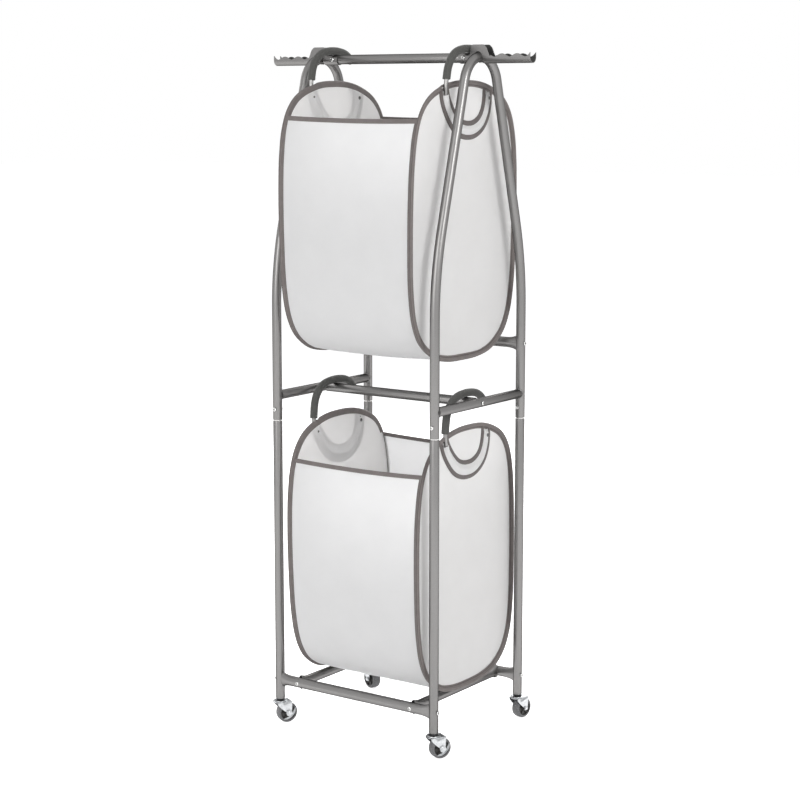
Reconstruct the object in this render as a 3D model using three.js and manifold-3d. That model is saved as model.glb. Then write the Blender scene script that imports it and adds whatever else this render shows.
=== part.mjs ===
import * as THREE from 'three'
import { mergeVertices } from 'three/addons/utils/BufferGeometryUtils.js'
import Module from 'manifold-3d'

const wasm = await Module()
wasm.setup()

// A rolling laundry hamper: two fabric bins hang by foam-covered hooks in a tube frame on casters.
// Millimetres, +Z up, floor at z = 0, the frame's middle at the origin, the front at -Y.

// Driving sizes of the frame
const tubeRadius = 11
const tubeWall = 1.2
const legHalfSpanX = 225
const legHalfSpanY = 180
const legFoot = 61.6
const middleBarHeight = 803
const topBarHeight = 1586
const jointBelowBar = 60
const legJoint = middleBarHeight - jointBelowBar
const spigotLength = 45
const spigotWall = 1.2
const jointBoltRise = 27
const archOverBar = 2
const archApex = topBarHeight + archOverBar
const archLoopRadius = 68
const archLean = THREE.MathUtils.degToRad(15)
const archBendShare = 0.9706
const archBendRadius = archBendShare * (topBarHeight - middleBarHeight)
const upperRailRise = 120
const upperRailHeight = middleBarHeight + upperRailRise
const lowerRailHeight = 110
const binRestInset = 60
const binRestHalfSpan = legHalfSpanX - binRestInset
const clearance = 0.3
const overrun = 5

// Sizes of the pinched rail ends that hug the leg or the rail they are screwed to
const railPinchLength = 34
const railEndHalfHeight = 18
const railEndHalfThickness = 6.5
const binRestEndHalfHeight = 15
const plugLength = 20

// Sizes of the pressed hanger arms, an open channel with a hump over the arch and notches for hangers
const armWall = 1.6
const armRunInward = 53
const armRunOutward = 137
const armInnerEnd = legHalfSpanX - armRunInward
const armTip = legHalfSpanX + armRunOutward
const armSeatWallRise = 5
const armHumpRunInward = 22.5
const armHumpRunOutward = 33
const armHumpFlatInward = 14
const armHumpFlatOutward = 13
const armHumpRise = 29
const armHumpStart = legHalfSpanX - armHumpRunInward
const armHumpFlatStart = legHalfSpanX - armHumpFlatInward
const armHumpFlatEnd = legHalfSpanX + armHumpFlatOutward
const armHumpEnd = legHalfSpanX + armHumpRunOutward
const armNotchPitch = 40
const armNotchSetOff = 43
const armFirstNotch = legHalfSpanX + armNotchSetOff
const armNotchLow = 1.5
const armNotchHigh = 8.5
const armTipRise = 11
const armSaddleRadius = 14.5
const armScrewInset = 40
const armScrewX = legHalfSpanX - armScrewInset

// Fastener sizes
const screwRadius = 2.5
const screwHeadRadius = 5
const screwHeadHeight = 3
const nutHeight = 4
const armScrewLength = 9

// Caster sizes
const wheelRadius = 25
const wheelHalfWidth = 11
const wheelHubRadius = 7.5
const wheelWebDepth = 3
const wheelTreadDepth = 6
const axleRadius = 3
const casterTrail = 16
const casterTurns = { front_left: 63, front_right: 63, rear_left: -20, rear_right: 81 }
const forkWall = 1.8
const forkInnerHalfWidth = 12.6
const forkCrownGap = 1.6
const forkFootRadius = 5.5
const swivelDiscRadius = 16
const swivelDiscHeight = 3.6
const stemRadius = 4
const stemLength = 34
const socketRadius = 9.4
const socketInsertLength = 36
const brakeWall = 1.6
const brakeReach = 22
const brakeBossRadius = 7
const brakeTabWidth = 8

// Sizes shared by both bins: end panels with a taped wire rim, a sling between them, hooks in sleeves
const panelInset = 40.5
const panelFace = legHalfSpanX - panelInset
const panelThickness = 2
const rimThickness = 9
const rimWidth = 12.6
const slingThickness = 1.8
const slingInset = 4
const hemRadius = 4.5
const hookRodRadius = 5
const foamRadius = 9.2
const hookOffset = 6.3
const hookPlane = panelFace + hookOffset
const hookHalfWidth = 88
const hookHalfHeight = 94
const hookSquareness = 2.6
const hookTipReach = 71
const sleeveDrop = 84
const sleeveHalfWidth = 19
const sleeveCrownHalfWidth = 7
const sleeveCover = 1.4

// Room under each bin's foot, above the bar or rail below it
const upperBinFootRoom = 96
const lowerBinFootRoom = 13

// Each bin's own size: half depth, the drop of the crown, of the sling's two hems and of the grips' front
// ends below the bar, the crown's rearward lean, how far each panel's foot draws inward, and how far the
// whole foot drifts to the right
const bins = {
  upper: {
    bar: topBarHeight, foot: middleBarHeight + upperBinFootRoom, halfDepth: 217, crownDrop: 49,
    frontHemDrop: 134, rearHemDrop: 134, foamDrop: 48, lean: 0, taper: 9, drift: 0
  },
  lower: {
    bar: middleBarHeight, foot: lowerRailHeight + lowerBinFootRoom, halfDepth: 205, crownDrop: 55,
    frontHemDrop: 144, rearHemDrop: 131, foamDrop: 60, lean: 14, taper: 7, drift: 15
  }
}

// The end panel's outline, foot to crown: across as a share of half depth, up as a share of height
const panelOutlineShares = [
  [0.3, 0.004], [0.55, 0.024], [0.78, 0.078], [0.905, 0.15], [0.975, 0.26], [1, 0.42],
  [1, 0.6], [0.98, 0.72], [0.93, 0.82], [0.84, 0.892], [0.7, 0.942], [0.5, 0.975], [0.26, 0.995]
]

// Facet counts
const tubeSides = 12
const screwSides = 8
const wheelSides = 24
const foamSides = 8
const hookSteps = 24
const panelStations = 36

// The finishes seen on the real thing
const finishes = {
  frame: { color: 0x9c9a96, roughness: 0.45, metalness: 0.7 },
  zinc: { color: 0xc9ced2, roughness: 0.3, metalness: 0.9 },
  screw: { color: 0xb8b8b8, roughness: 0.35, metalness: 0.9 },
  socket: { color: 0x26272a, roughness: 0.6, metalness: 0 },
  tyre: { color: 0x55555a, roughness: 0.7, metalness: 0 },
  sling: { color: 0xe9e9eb, roughness: 0.9, metalness: 0 },
  panel: { color: 0xdfdcda, roughness: 0.9, metalness: 0 },
  foam: { color: 0x565650, roughness: 0.95, metalness: 0 },
  hook: { color: 0xa9a8a4, roughness: 0.4, metalness: 0.8 }
}

// A closed mesh becomes a solid with its faces pointing out
function solid (geometry) {
  const bare = geometry.clone()
  bare.deleteAttribute('normal')
  bare.deleteAttribute('uv')
  const welded = mergeVertices(bare)
  const corners = Uint32Array.from(welded.index.array)
  const make = () => new wasm.Manifold(new wasm.Mesh({
    numProp: 3, vertProperties: Float32Array.from(welded.attributes.position.array), triVerts: corners
  }))
  const body = make()
  if (body.volume() > 0) return body
  for (let i = 0; i < corners.length; i += 3) {
    const first = corners[i]
    corners[i] = corners[i + 1]
    corners[i + 1] = first
  }
  return make()
}

function geometryOf (body) {
  const mesh = body.getMesh()
  const geometry = new THREE.BufferGeometry()
  geometry.setAttribute('position', new THREE.BufferAttribute(mesh.vertProperties, 3))
  geometry.setIndex(new THREE.BufferAttribute(mesh.triVerts, 1))
  geometry.computeVertexNormals()
  return geometry
}

function cut (geometry, ...tools) {
  return geometryOf(tools.reduce((body, tool) => body.subtract(solid(tool)), solid(geometry)))
}

function join (geometry, ...others) {
  return geometryOf(others.reduce((body, other) => body.add(solid(other)), solid(geometry)))
}

function mirroredX (geometry) {
  return geometryOf(solid(geometry.clone().scale(-1, 1, 1)))
}

// Rings of points joined into one closed skin: capped at both ends, or run round into a loop
function loft (rings, loop = false) {
  const sides = rings[0].length
  const points = rings.flat()
  const faces = []
  const spans = loop ? rings.length : rings.length - 1
  for (let i = 0; i < spans; i++) {
    for (let j = 0; j < sides; j++) {
      const next = (i + 1) % rings.length
      const a = i * sides + j
      const b = i * sides + (j + 1) % sides
      const c = next * sides + (j + 1) % sides
      const d = next * sides + j
      faces.push(a, b, c, a, c, d)
    }
  }
  if (!loop) {
    for (const last of [false, true]) {
      const start = last ? (rings.length - 1) * sides : 0
      const middle = points.length
      const ring = rings[last ? rings.length - 1 : 0]
      points.push(ring.reduce((sum, point) => sum.add(point), new THREE.Vector3()).divideScalar(sides))
      for (let j = 0; j < sides; j++) {
        const a = start + j
        const b = start + (j + 1) % sides
        faces.push(middle, last ? a : b, last ? b : a)
      }
    }
  }
  const geometry = new THREE.BufferGeometry().setFromPoints(points)
  geometry.setIndex(faces)
  return geometry
}

// A ring about a centre, round or squared by its power, on two unit directions
function ring (centre, side, up, halfSide, halfUp, sides = tubeSides, power = 2) {
  return Array.from({ length: sides }, (_, i) => {
    const angle = i * 2 * Math.PI / sides
    const across = Math.sign(Math.cos(angle)) * Math.abs(Math.cos(angle)) ** (2 / power) * halfSide
    const along = Math.sign(Math.sin(angle)) * Math.abs(Math.sin(angle)) ** (2 / power) * halfUp
    return centre.clone().addScaledVector(side, across).addScaledVector(up, along)
  })
}

// A section swept along stations that lie in a plane x = constant: its u points to the left of travel, w to +X
function sweepInPlane (stations, section, loop = false) {
  const rings = stations.map((station, i) => {
    const before = stations[loop ? (i + stations.length - 1) % stations.length : Math.max(i - 1, 0)]
    const after = stations[loop ? (i + 1) % stations.length : Math.min(i + 1, stations.length - 1)]
    const travel = after.clone().sub(before).normalize()
    const left = new THREE.Vector3(0, -travel.z, travel.y)
    return section.map(([u, w]) => {
      return station.clone().addScaledVector(left, u).add(new THREE.Vector3(w, 0, 0))
    })
  })
  return loft(rings, loop)
}

function roundSection (radius, sides) {
  return Array.from({ length: sides }, (_, i) => {
    const angle = i * 2 * Math.PI / sides
    return [radius * Math.cos(angle), radius * Math.sin(angle)]
  })
}

// A profile of radius and height turned about an axis that starts at a point and runs along a direction
function turned (profile, sides, origin = new THREE.Vector3(), direction = new THREE.Vector3(0, 0, 1)) {
  const geometry = new THREE.LatheGeometry(profile.map(([r, h]) => new THREE.Vector2(r, h)), sides)
  const turn = new THREE.Quaternion().setFromUnitVectors(new THREE.Vector3(0, 1, 0), direction)
  return geometry.applyQuaternion(turn).translate(origin.x, origin.y, origin.z)
}

function cylinder (origin, direction, length, radius, sides = tubeSides) {
  return turned([[0, 0], [radius, 0], [radius, length], [0, length]], sides, origin, direction)
}

function tube (origin, direction, length, radius, bore, sides = tubeSides) {
  const profile = [[bore, 0], [radius, 0], [radius, length], [bore, length], [bore, 0]]
  return turned(profile, sides, origin, direction)
}

// An outline in the y and z plane, extruded along +X from a starting x
function plateAcross (points, startX, thickness) {
  const shape = new THREE.Shape(points.map(([y, z]) => new THREE.Vector2(y, z)))
  const geometry = new THREE.ExtrudeGeometry(shape, { depth: thickness, bevelEnabled: false })
  const basis = new THREE.Matrix4().makeBasis(
    new THREE.Vector3(0, 1, 0), new THREE.Vector3(0, 0, 1), new THREE.Vector3(1, 0, 0))
  return geometry.applyMatrix4(basis).translate(startX, 0, 0)
}

// An outline in the x and z plane, extruded along +Y from a starting y
function plateAlong (points, startY, thickness) {
  const shape = new THREE.Shape(points.map(([x, z]) => new THREE.Vector2(x, z)))
  const geometry = new THREE.ExtrudeGeometry(shape, { depth: thickness, bevelEnabled: false })
  return geometry.rotateX(Math.PI / 2).translate(0, startY + thickness, 0)
}

const alongX = new THREE.Vector3(1, 0, 0)
const alongY = new THREE.Vector3(0, 1, 0)
const alongZ = new THREE.Vector3(0, 0, 1)
const screwHole = screwRadius + clearance
const tubeBore = tubeRadius - tubeWall
const hugRadius = (tubeRadius + clearance) / Math.cos(Math.PI / tubeSides)

function holeAcross (origin, direction, reach) {
  const start = origin.clone().addScaledVector(direction, -reach)
  return cylinder(start, direction, 2 * reach, screwHole, screwSides)
}

// Lower leg: a tube with a rolled shoulder and a narrower spigot that the arch slides over
function leg (x, y) {
  const spigotOuter = tubeBore - clearance
  const spigotInner = spigotOuter - spigotWall
  const profile = [
    [tubeBore, legFoot], [tubeRadius, legFoot], [tubeRadius, legJoint - tubeWall],
    [tubeRadius - tubeWall / 2, legJoint], [spigotOuter, legJoint],
    [spigotOuter, legJoint + spigotLength], [spigotInner, legJoint + spigotLength],
    [spigotInner, legJoint - tubeRadius / 2], [tubeBore, legJoint - tubeRadius], [tubeBore, legFoot]
  ]
  const bolt = new THREE.Vector3(0, 0, legJoint + jointBoltRise)
  const railScrew = new THREE.Vector3(0, 0, lowerRailHeight)
  const body = cut(turned(profile, tubeSides),
    holeAcross(bolt, alongY, tubeRadius + overrun), holeAcross(railScrew, alongX, tubeRadius + overrun))
  return body.translate(x, y, 0)
}

// Middle line of an end arch, front foot to rear foot, as y and z
function archStations () {
  const loopCentre = archApex - archLoopRadius
  const tangentY = archLoopRadius * Math.cos(archLean)
  const tangentZ = loopCentre + archLoopRadius * Math.sin(archLean)
  const corner = tangentZ - (legHalfSpanY - tangentY) / Math.tan(archLean)
  const bendCentreY = legHalfSpanY - archBendRadius
  const bendStart = corner - archBendRadius * Math.tan(archLean / 2)
  const bendSteps = 2
  const loopSteps = 12
  const rearHalf = [[legHalfSpanY, legJoint + clearance]]
  for (let i = 0; i <= bendSteps; i++) {
    const angle = archLean * i / bendSteps
    rearHalf.push([bendCentreY + archBendRadius * Math.cos(angle), bendStart + archBendRadius * Math.sin(angle)])
  }
  const loop = []
  for (let i = 0; i <= loopSteps; i++) {
    const angle = archLean + (Math.PI - 2 * archLean) * i / loopSteps
    loop.push([archLoopRadius * Math.cos(angle), loopCentre + archLoopRadius * Math.sin(angle)])
  }
  const frontHalf = rearHalf.map(([y, z]) => [-y, z]).reverse()
  return [...rearHalf, ...loop, ...frontHalf].map(([y, z]) => new THREE.Vector3(legHalfSpanX, y, z))
}

// End arch: one tube from the front leg over a narrow loop to the rear leg
function arch (side) {
  const stations = archStations()
  const longer = stations.map(point => point.clone())
  longer[0].z -= overrun
  longer.at(-1).z -= overrun
  const holes = [-1, 1].map(end => {
    const bolt = new THREE.Vector3(legHalfSpanX, end * legHalfSpanY, legJoint + jointBoltRise)
    return holeAcross(bolt, alongY, tubeRadius + overrun)
  })
  const railScrew = new THREE.Vector3(legHalfSpanX, legHalfSpanY, upperRailHeight)
  const body = cut(sweepInPlane(stations, roundSection(tubeRadius, tubeSides)),
    sweepInPlane(longer, roundSection(tubeBore, tubeSides)), ...holes,
    holeAcross(railScrew, alongX, tubeRadius + overrun))
  return side > 0 ? body : mirroredX(body)
}

// Side bar: welded across the arch between its legs, its ends cut to their curve
function sideBar (side) {
  const start = new THREE.Vector3(legHalfSpanX, -legHalfSpanY, middleBarHeight)
  const legs = sweepInPlane(archStations(), roundSection(hugRadius, tubeSides))
  const middle = new THREE.Vector3(legHalfSpanX, 0, middleBarHeight)
  const body = cut(tube(start, alongY, 2 * legHalfSpanY, tubeRadius, tubeBore), legs,
    holeAcross(middle, alongX, tubeRadius + overrun))
  return side > 0 ? body : mirroredX(body)
}

// Centre bar: carries the lower bin, its plugged ends cut to the side bars' curve and tapped for a screw
function centreBar () {
  const start = new THREE.Vector3(-legHalfSpanX, 0, middleBarHeight)
  const hollow = legHalfSpanX - tubeRadius - plugLength
  const sides = [-1, 1].map(side => {
    const end = new THREE.Vector3(side * legHalfSpanX, -2 * tubeRadius, middleBarHeight)
    return cylinder(end, alongY, 4 * tubeRadius, hugRadius)
  })
  return cut(cylinder(start, alongX, 2 * legHalfSpanX, tubeRadius), ...sides,
    cylinder(new THREE.Vector3(-hollow, 0, middleBarHeight), alongX, 2 * hollow, tubeBore),
    holeAcross(new THREE.Vector3(0, 0, middleBarHeight), alongX, legHalfSpanX))
}

// Top bar: carries the upper bin between the two arches
function topBar () {
  const end = legHalfSpanX - tubeRadius - clearance
  const holes = [-1, 1].map(side => {
    const screw = new THREE.Vector3(side * armScrewX, -tubeRadius, topBarHeight)
    return holeAcross(screw, alongY, tubeWall + overrun)
  })
  return cut(tube(new THREE.Vector3(-end, 0, topBarHeight), alongX, 2 * end, tubeRadius, tubeBore), ...holes)
}

// Top edge of a hanger arm's walls, as x and height over the bar's axis
function armEdge () {
  const edge = [
    [armInnerEnd, armSeatWallRise], [armHumpStart, armSeatWallRise],
    [armHumpStart + (armHumpFlatStart - armHumpStart) / 3, armHumpRise * 0.8],
    [armHumpFlatStart, armHumpRise], [armHumpFlatEnd, armHumpRise]
  ]
  const steps = 3
  for (let i = 1; i <= steps; i++) {
    const share = i / (steps + 1)
    const drop = (armHumpRise - armNotchLow) * (1 - Math.cos(Math.PI * share)) / 2
    edge.push([armHumpFlatEnd + (armHumpEnd - armHumpFlatEnd) * share, armHumpRise - drop])
  }
  const middle = (armNotchLow + armNotchHigh) / 2
  const swing = (armNotchHigh - armNotchLow) / 2
  const stepsPerNotch = 8
  const lastNotch = armTip - (armTip - armFirstNotch) % armNotchPitch
  for (let i = 0, x = armHumpEnd; x < lastNotch; i++, x = armHumpEnd + i * armNotchPitch / stepsPerNotch) {
    const phase = 2 * Math.PI * (x - armFirstNotch) / armNotchPitch
    edge.push([x, middle - swing * Math.cos(phase)])
  }
  edge.push([lastNotch, armNotchLow])
  edge.push([(lastNotch + armTip) / 2, (armNotchLow + armTipRise) / 2 - tubeWall], [armTip, armTipRise])
  return edge
}

// Hanger arm: a channel round the top bar's end, humped over the arch, notched along its outer walls
function hangerArm (side) {
  const inner = tubeRadius + clearance
  const outer = inner + armWall
  const halfRound = (radius, top) => {
    const points = [[radius, top]]
    const steps = tubeSides / 2
    for (let i = 0; i <= steps; i++) {
      const angle = -Math.PI * i / steps
      points.push([radius * Math.cos(angle), topBarHeight + radius * Math.sin(angle)])
    }
    return [...points, [-radius, top]]
  }
  const top = topBarHeight + armHumpRise
  const blank = plateAcross(halfRound(outer, top), armInnerEnd, armTip - armInnerEnd)
  const trough = plateAcross(halfRound(inner, top + overrun), armInnerEnd - overrun,
    armTip - armInnerEnd + 2 * overrun)
  const above = armEdge().map(([x, rise]) => [x, topBarHeight + rise])
  const lid = [[armInnerEnd - overrun, above[0][1]], ...above, [armTip + overrun, above.at(-1)[1]],
    [armTip + overrun, top + overrun], [armInnerEnd - overrun, top + overrun]]
  const saddle = []
  const saddleSteps = 8
  const saddleCentre = archApex - armWall / 2
  for (let i = 0; i <= saddleSteps; i++) {
    const angle = Math.PI * i / saddleSteps
    saddle.push([legHalfSpanX + armSaddleRadius * Math.cos(angle),
      saddleCentre + armSaddleRadius * Math.sin(angle)])
  }
  const below = topBarHeight - outer - overrun
  saddle.push([legHalfSpanX - armSaddleRadius, below], [legHalfSpanX + armSaddleRadius, below])
  const screw = new THREE.Vector3(armScrewX, -outer, topBarHeight)
  const body = cut(blank, trough, plateAlong(lid, -outer - overrun, 2 * (outer + overrun)),
    plateAlong(saddle, -outer - overrun, 2 * (outer + overrun)), holeAcross(screw, alongY, armWall + overrun))
  return side > 0 ? body : mirroredX(body)
}

// A round rail whose pinched ends stand tall against what they hug, bored for the end screws
function pinchedRail (halfLength, endHalfHeight) {
  const up = alongZ
  const sections = [
    [-halfLength, endHalfHeight, railEndHalfThickness],
    [-halfLength + railPinchLength / 2, (endHalfHeight + 2 * tubeRadius) / 3, (railEndHalfThickness + 2 * tubeRadius) / 3],
    [-halfLength + railPinchLength, tubeRadius, tubeRadius]
  ]
  const all = [...sections, ...sections.map(([x, h, t]) => [-x, h, t]).reverse()]
  const rings = all.map(([x, halfHeight, halfThickness]) => {
    return ring(new THREE.Vector3(x, 0, 0), alongY, up, halfThickness, halfHeight)
  })
  const hollow = halfLength - railPinchLength
  return cut(loft(rings), cylinder(new THREE.Vector3(-hollow, 0, 0), alongX, 2 * hollow, tubeBore),
    holeAcross(new THREE.Vector3(), alongX, halfLength + overrun))
}

// Cross rail between two legs, front or rear, with screw holes for the bin rests where it carries them
function legRail (y, height, carriesRests) {
  const body = pinchedRail(legHalfSpanX - tubeRadius / 2, railEndHalfHeight).translate(0, y, height)
  const legs = [-1, 1].map(side => {
    const foot = new THREE.Vector3(side * legHalfSpanX, y, height - 2 * railEndHalfHeight)
    return cylinder(foot, alongZ, 4 * railEndHalfHeight, hugRadius)
  })
  const restHoles = carriesRests
    ? [-1, 1].map(side => holeAcross(new THREE.Vector3(side * binRestHalfSpan, y, height), alongY,
      tubeRadius + overrun))
    : []
  return cut(body, ...legs, ...restHoles)
}

// Bin rest: a rail from front to back under the lower bin
function binRest (side) {
  const body = pinchedRail(legHalfSpanY - tubeRadius / 2, binRestEndHalfHeight)
    .rotateZ(Math.PI / 2).translate(side * binRestHalfSpan, 0, lowerRailHeight)
  const rails = [-1, 1].map(end => {
    const start = new THREE.Vector3(side * binRestHalfSpan - 2 * tubeRadius, end * legHalfSpanY, lowerRailHeight)
    return cylinder(start, alongX, 4 * tubeRadius, hugRadius)
  })
  return cut(body, ...rails)
}

// A pan-headed screw, its head's seat at the origin and its shank running back along the direction
function screw (seat, direction, length, nut = false) {
  const profile = [
    [0, screwHeadHeight], [screwHeadRadius * 0.6, screwHeadHeight],
    [screwHeadRadius, screwHeadHeight / 3], [screwHeadRadius, 0], [screwRadius, 0]
  ]
  if (nut) {
    profile.push([screwRadius, nutHeight - length], [screwHeadRadius, nutHeight - length],
      [screwHeadRadius, -length], [0, -length])
  } else {
    profile.push([screwRadius, -length], [0, -length])
  }
  return turned(profile.reverse(), screwSides, seat, direction)
}

// Bolt through the arch and the leg's spigot, head outside and nut inside
function jointBolt (x, end) {
  const seat = new THREE.Vector3(x, end * (legHalfSpanY + tubeRadius + clearance), legJoint + jointBoltRise)
  return screw(seat, alongY.clone().multiplyScalar(end), 2 * (tubeRadius + clearance) + nutHeight, true)
}

// Screw through a leg or side bar into the plugged end of the rail or bar behind it
function endScrew (side, y, height) {
  const seat = new THREE.Vector3(side * (legHalfSpanX + tubeRadius + clearance), y, height)
  return screw(seat, alongX.clone().multiplyScalar(side), 2 * tubeRadius + plugLength)
}

function armScrew (side) {
  const seat = new THREE.Vector3(side * armScrewX, -(tubeRadius + 2 * clearance + armWall), topBarHeight)
  return screw(seat, alongY.clone().negate(), armScrewLength)
}

// Caster heights that follow from the wheel
const crownUnderside = 2 * wheelRadius + forkCrownGap
const discTop = crownUnderside + forkWall + swivelDiscHeight
const forkOuterHalfWidth = forkInnerHalfWidth + forkWall

// Socket: dark plastic plug in the leg's foot, its collar showing under the tube
function casterSocket (x, y) {
  const bore = stemRadius + 2 * clearance
  const collarFoot = discTop + clearance
  const profile = [
    [bore, collarFoot], [socketRadius, collarFoot], [socketRadius, legFoot + socketInsertLength],
    [bore, legFoot + socketInsertLength], [bore, collarFoot]
  ]
  return turned(profile, tubeSides).translate(x, y, 0)
}

// Side plate of the fork, from the crown down to the axle, as x and z
function forkCheek () {
  const axleX = casterTrail
  const front = -swivelDiscRadius * 0.8
  const back = casterTrail + forkFootRadius * 1.6
  const shape = new THREE.Shape()
  shape.moveTo(front, crownUnderside + forkWall)
  shape.lineTo(front, crownUnderside - forkWall)
  shape.quadraticCurveTo(casterTrail / 4, crownUnderside - 2 * forkFootRadius,
    axleX - forkFootRadius, wheelRadius)
  shape.absarc(axleX, wheelRadius, forkFootRadius, Math.PI, 2 * Math.PI, false)
  shape.lineTo(back, crownUnderside + forkWall)
  return shape.getPoints(5).map(point => [point.x, point.y])
}

// Fork: pressed zinc cheeks and crown, swivel disc, stem and riveted axle in one turning piece
function casterFork () {
  const cheek = forkCheek()
  const cheeks = [-forkOuterHalfWidth, forkInnerHalfWidth].map(y => plateAlong(cheek, y, forkWall))
  const front = -swivelDiscRadius * 0.8
  const back = casterTrail + forkFootRadius * 1.6
  const crown = new THREE.BoxGeometry(back - front, 2 * forkOuterHalfWidth, forkWall)
    .translate((front + back) / 2, 0, crownUnderside + forkWall / 2)
  const discFoot = crownUnderside
  const disc = turned([
    [0, discFoot], [swivelDiscRadius, discFoot], [swivelDiscRadius, discFoot + forkWall],
    [swivelDiscRadius * 0.88, discFoot + forkWall + swivelDiscHeight / 4],
    [swivelDiscRadius, discFoot + forkWall + swivelDiscHeight / 2],
    [swivelDiscRadius * 0.8, discTop], [stemRadius, discTop],
    [stemRadius, discTop + stemLength], [0, discTop + stemLength]
  ], tubeSides)
  const axleHalf = forkOuterHalfWidth + 2 * brakeWall + clearance
  const axle = cylinder(new THREE.Vector3(casterTrail, -axleHalf, wheelRadius), alongY,
    axleHalf + forkOuterHalfWidth + forkWall, axleRadius)
  return join(disc, crown, ...cheeks, axle)
}

// Wheel: hub boss, sunk web and a tread with rounded shoulders, turned about the axle
function wheel () {
  const bore = axleRadius + clearance
  const web = wheelHalfWidth - wheelWebDepth
  const rim = wheelRadius - wheelTreadDepth
  const shoulder = wheelHalfWidth * 0.3
  const half = [
    [bore, wheelHalfWidth + clearance], [wheelHubRadius, wheelHalfWidth + clearance],
    [wheelHubRadius, web], [rim, web], [rim + clearance, wheelHalfWidth - clearance],
    [wheelRadius, wheelHalfWidth - shoulder]
  ]
  const profile = [...half.map(([r, h]) => [r, -h]), ...half.reverse(), [bore, -wheelHalfWidth - clearance]]
  return turned(profile, wheelSides, new THREE.Vector3(casterTrail, 0, wheelRadius), alongY)
}

// Brake lever: a rocking strap on the axle's outer end with a curled thumb tab at each end
function brakeLever () {
  const outerFace = -forkOuterHalfWidth - clearance
  const high = THREE.MathUtils.degToRad(40)
  const low = THREE.MathUtils.degToRad(222)
  const tip = (angle, reach) => [reach * Math.cos(angle), reach * Math.sin(angle)]
  const [highX, highZ] = tip(high, brakeReach)
  const [lowX, lowZ] = tip(low, brakeReach)
  const strap = new THREE.Shape()
  strap.moveTo(highX, highZ)
  strap.lineTo(highX - brakeTabWidth / 2, highZ + brakeTabWidth / 4)
  strap.quadraticCurveTo(-brakeWall, brakeWall, lowX, lowZ + brakeTabWidth / 2)
  strap.lineTo(lowX + brakeTabWidth / 4, lowZ)
  strap.quadraticCurveTo(brakeReach * 0.5, -brakeReach * 0.85, highX, highZ)
  const points = strap.getPoints(6).slice(0, -1).map(point => [point.x + casterTrail, point.y + wheelRadius])
  const plate = plateAlong(points, outerFace - brakeWall, brakeWall)
  const hub = new THREE.Vector3(casterTrail, outerFace - 2 * brakeWall, wheelRadius)
  const boss = cylinder(hub, alongY, 2 * brakeWall, brakeBossRadius)
  const tabs = [[high, 1], [low, -1]].map(([angle, sense]) => {
    const [x, z] = tip(angle, brakeReach * 0.9)
    return new THREE.BoxGeometry(brakeWall, brakeTabWidth, brakeTabWidth)
      .translate(0, -brakeTabWidth / 2, 0).rotateY(-angle)
      .translate(casterTrail + x, outerFace - brakeWall / 2, wheelRadius + z)
  })
  const bore = cylinder(hub.clone().addScaledVector(alongY, -overrun), alongY,
    2 * brakeWall + 2 * overrun, axleRadius + clearance)
  return cut(join(plate, boss, ...tabs), bore)
}

// Closed outline of a bin's end panel, counted anticlockwise seen from +X, in the plane of x
function panelOutline (bin, x, inset = 0) {
  const top = bin.bar - bin.crownDrop
  const height = top - bin.foot
  const rear = panelOutlineShares.map(([across, up]) => [across * bin.halfDepth, bin.foot + up * height, up])
  const front = rear.map(([y, z, up]) => [-y, z, up]).reverse()
  const corners = [[0, bin.foot, 0], ...rear, [0, top, 1], ...front].map(([y, z, up]) => {
    return new THREE.Vector3(x, y + bin.lean * up ** 4, z)
  })
  const curve = new THREE.CatmullRomCurve3(corners, true, 'centripetal')
  const stations = curve.getSpacedPoints(panelStations).slice(0, -1)
  return stations.map((station, i) => {
    const before = stations[(i + stations.length - 1) % stations.length]
    const after = stations[(i + 1) % stations.length]
    const travel = after.clone().sub(before).normalize()
    return station.clone().addScaledVector(new THREE.Vector3(0, -travel.z, travel.y), inset)
  })
}

// Height of a hook ring's centre over its bin's bar
const hookCentreRise = tubeRadius + clearance + foamRadius - hookHalfHeight

// Middle line of a bin's hook rod between two angles about the ring's centre, front leg at 180 degrees
function hookStations (bin, fromAngle, toAngle) {
  const centre = bin.bar + hookCentreRise
  const power = 2 / hookSquareness
  const corner = index => {
    const angle = index * 2 * Math.PI / hookSteps
    const y = Math.sign(Math.cos(angle)) * Math.abs(Math.cos(angle)) ** power * hookHalfWidth
    const z = Math.sign(Math.sin(angle)) * Math.abs(Math.sin(angle)) ** power * hookHalfHeight
    return new THREE.Vector3(hookPlane, y, centre + z)
  }
  const between = index => corner(Math.floor(index)).lerp(corner(Math.floor(index) + 1), index % 1)
  const from = fromAngle * hookSteps / (2 * Math.PI)
  const to = toAngle * hookSteps / (2 * Math.PI)
  const stations = [between(from)]
  for (let i = Math.floor(from) + 1; i < to; i++) stations.push(corner(i))
  stations.push(between(to))
  return stations
}

// Angle on the ring where the rod is a given drop below the bar's axis
function angleAtDrop (drop) {
  const rise = -hookCentreRise - drop
  const share = Math.min(1, Math.abs(rise) / hookHalfHeight) ** (hookSquareness / 2)
  return Math.sign(rise) * Math.asin(share)
}

// Where on the ring the rod's tip, the grip's front end and the sleeve's two ends lie
function hookAngles (bin) {
  return {
    tip: Math.acos((hookTipReach / hookHalfWidth) ** (hookSquareness / 2)),
    foamEnd: Math.PI - angleAtDrop(bin.foamDrop),
    sleeveFront: Math.PI - angleAtDrop(sleeveDrop),
    sleeveRear: 2 * Math.PI + angleAtDrop(sleeveDrop)
  }
}

// Hook rod: from its tip behind the bar, over it and down the front, then round inside the sleeve
function hookRod (bin, side) {
  const { tip, sleeveRear } = hookAngles(bin)
  const stations = hookStations(bin, tip, sleeveRear - clearance / hookHalfWidth)
  const body = sweepInPlane(stations, roundSection(hookRodRadius, foamSides))
  return side > 0 ? geometryOf(solid(body)) : mirroredX(body)
}

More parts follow.
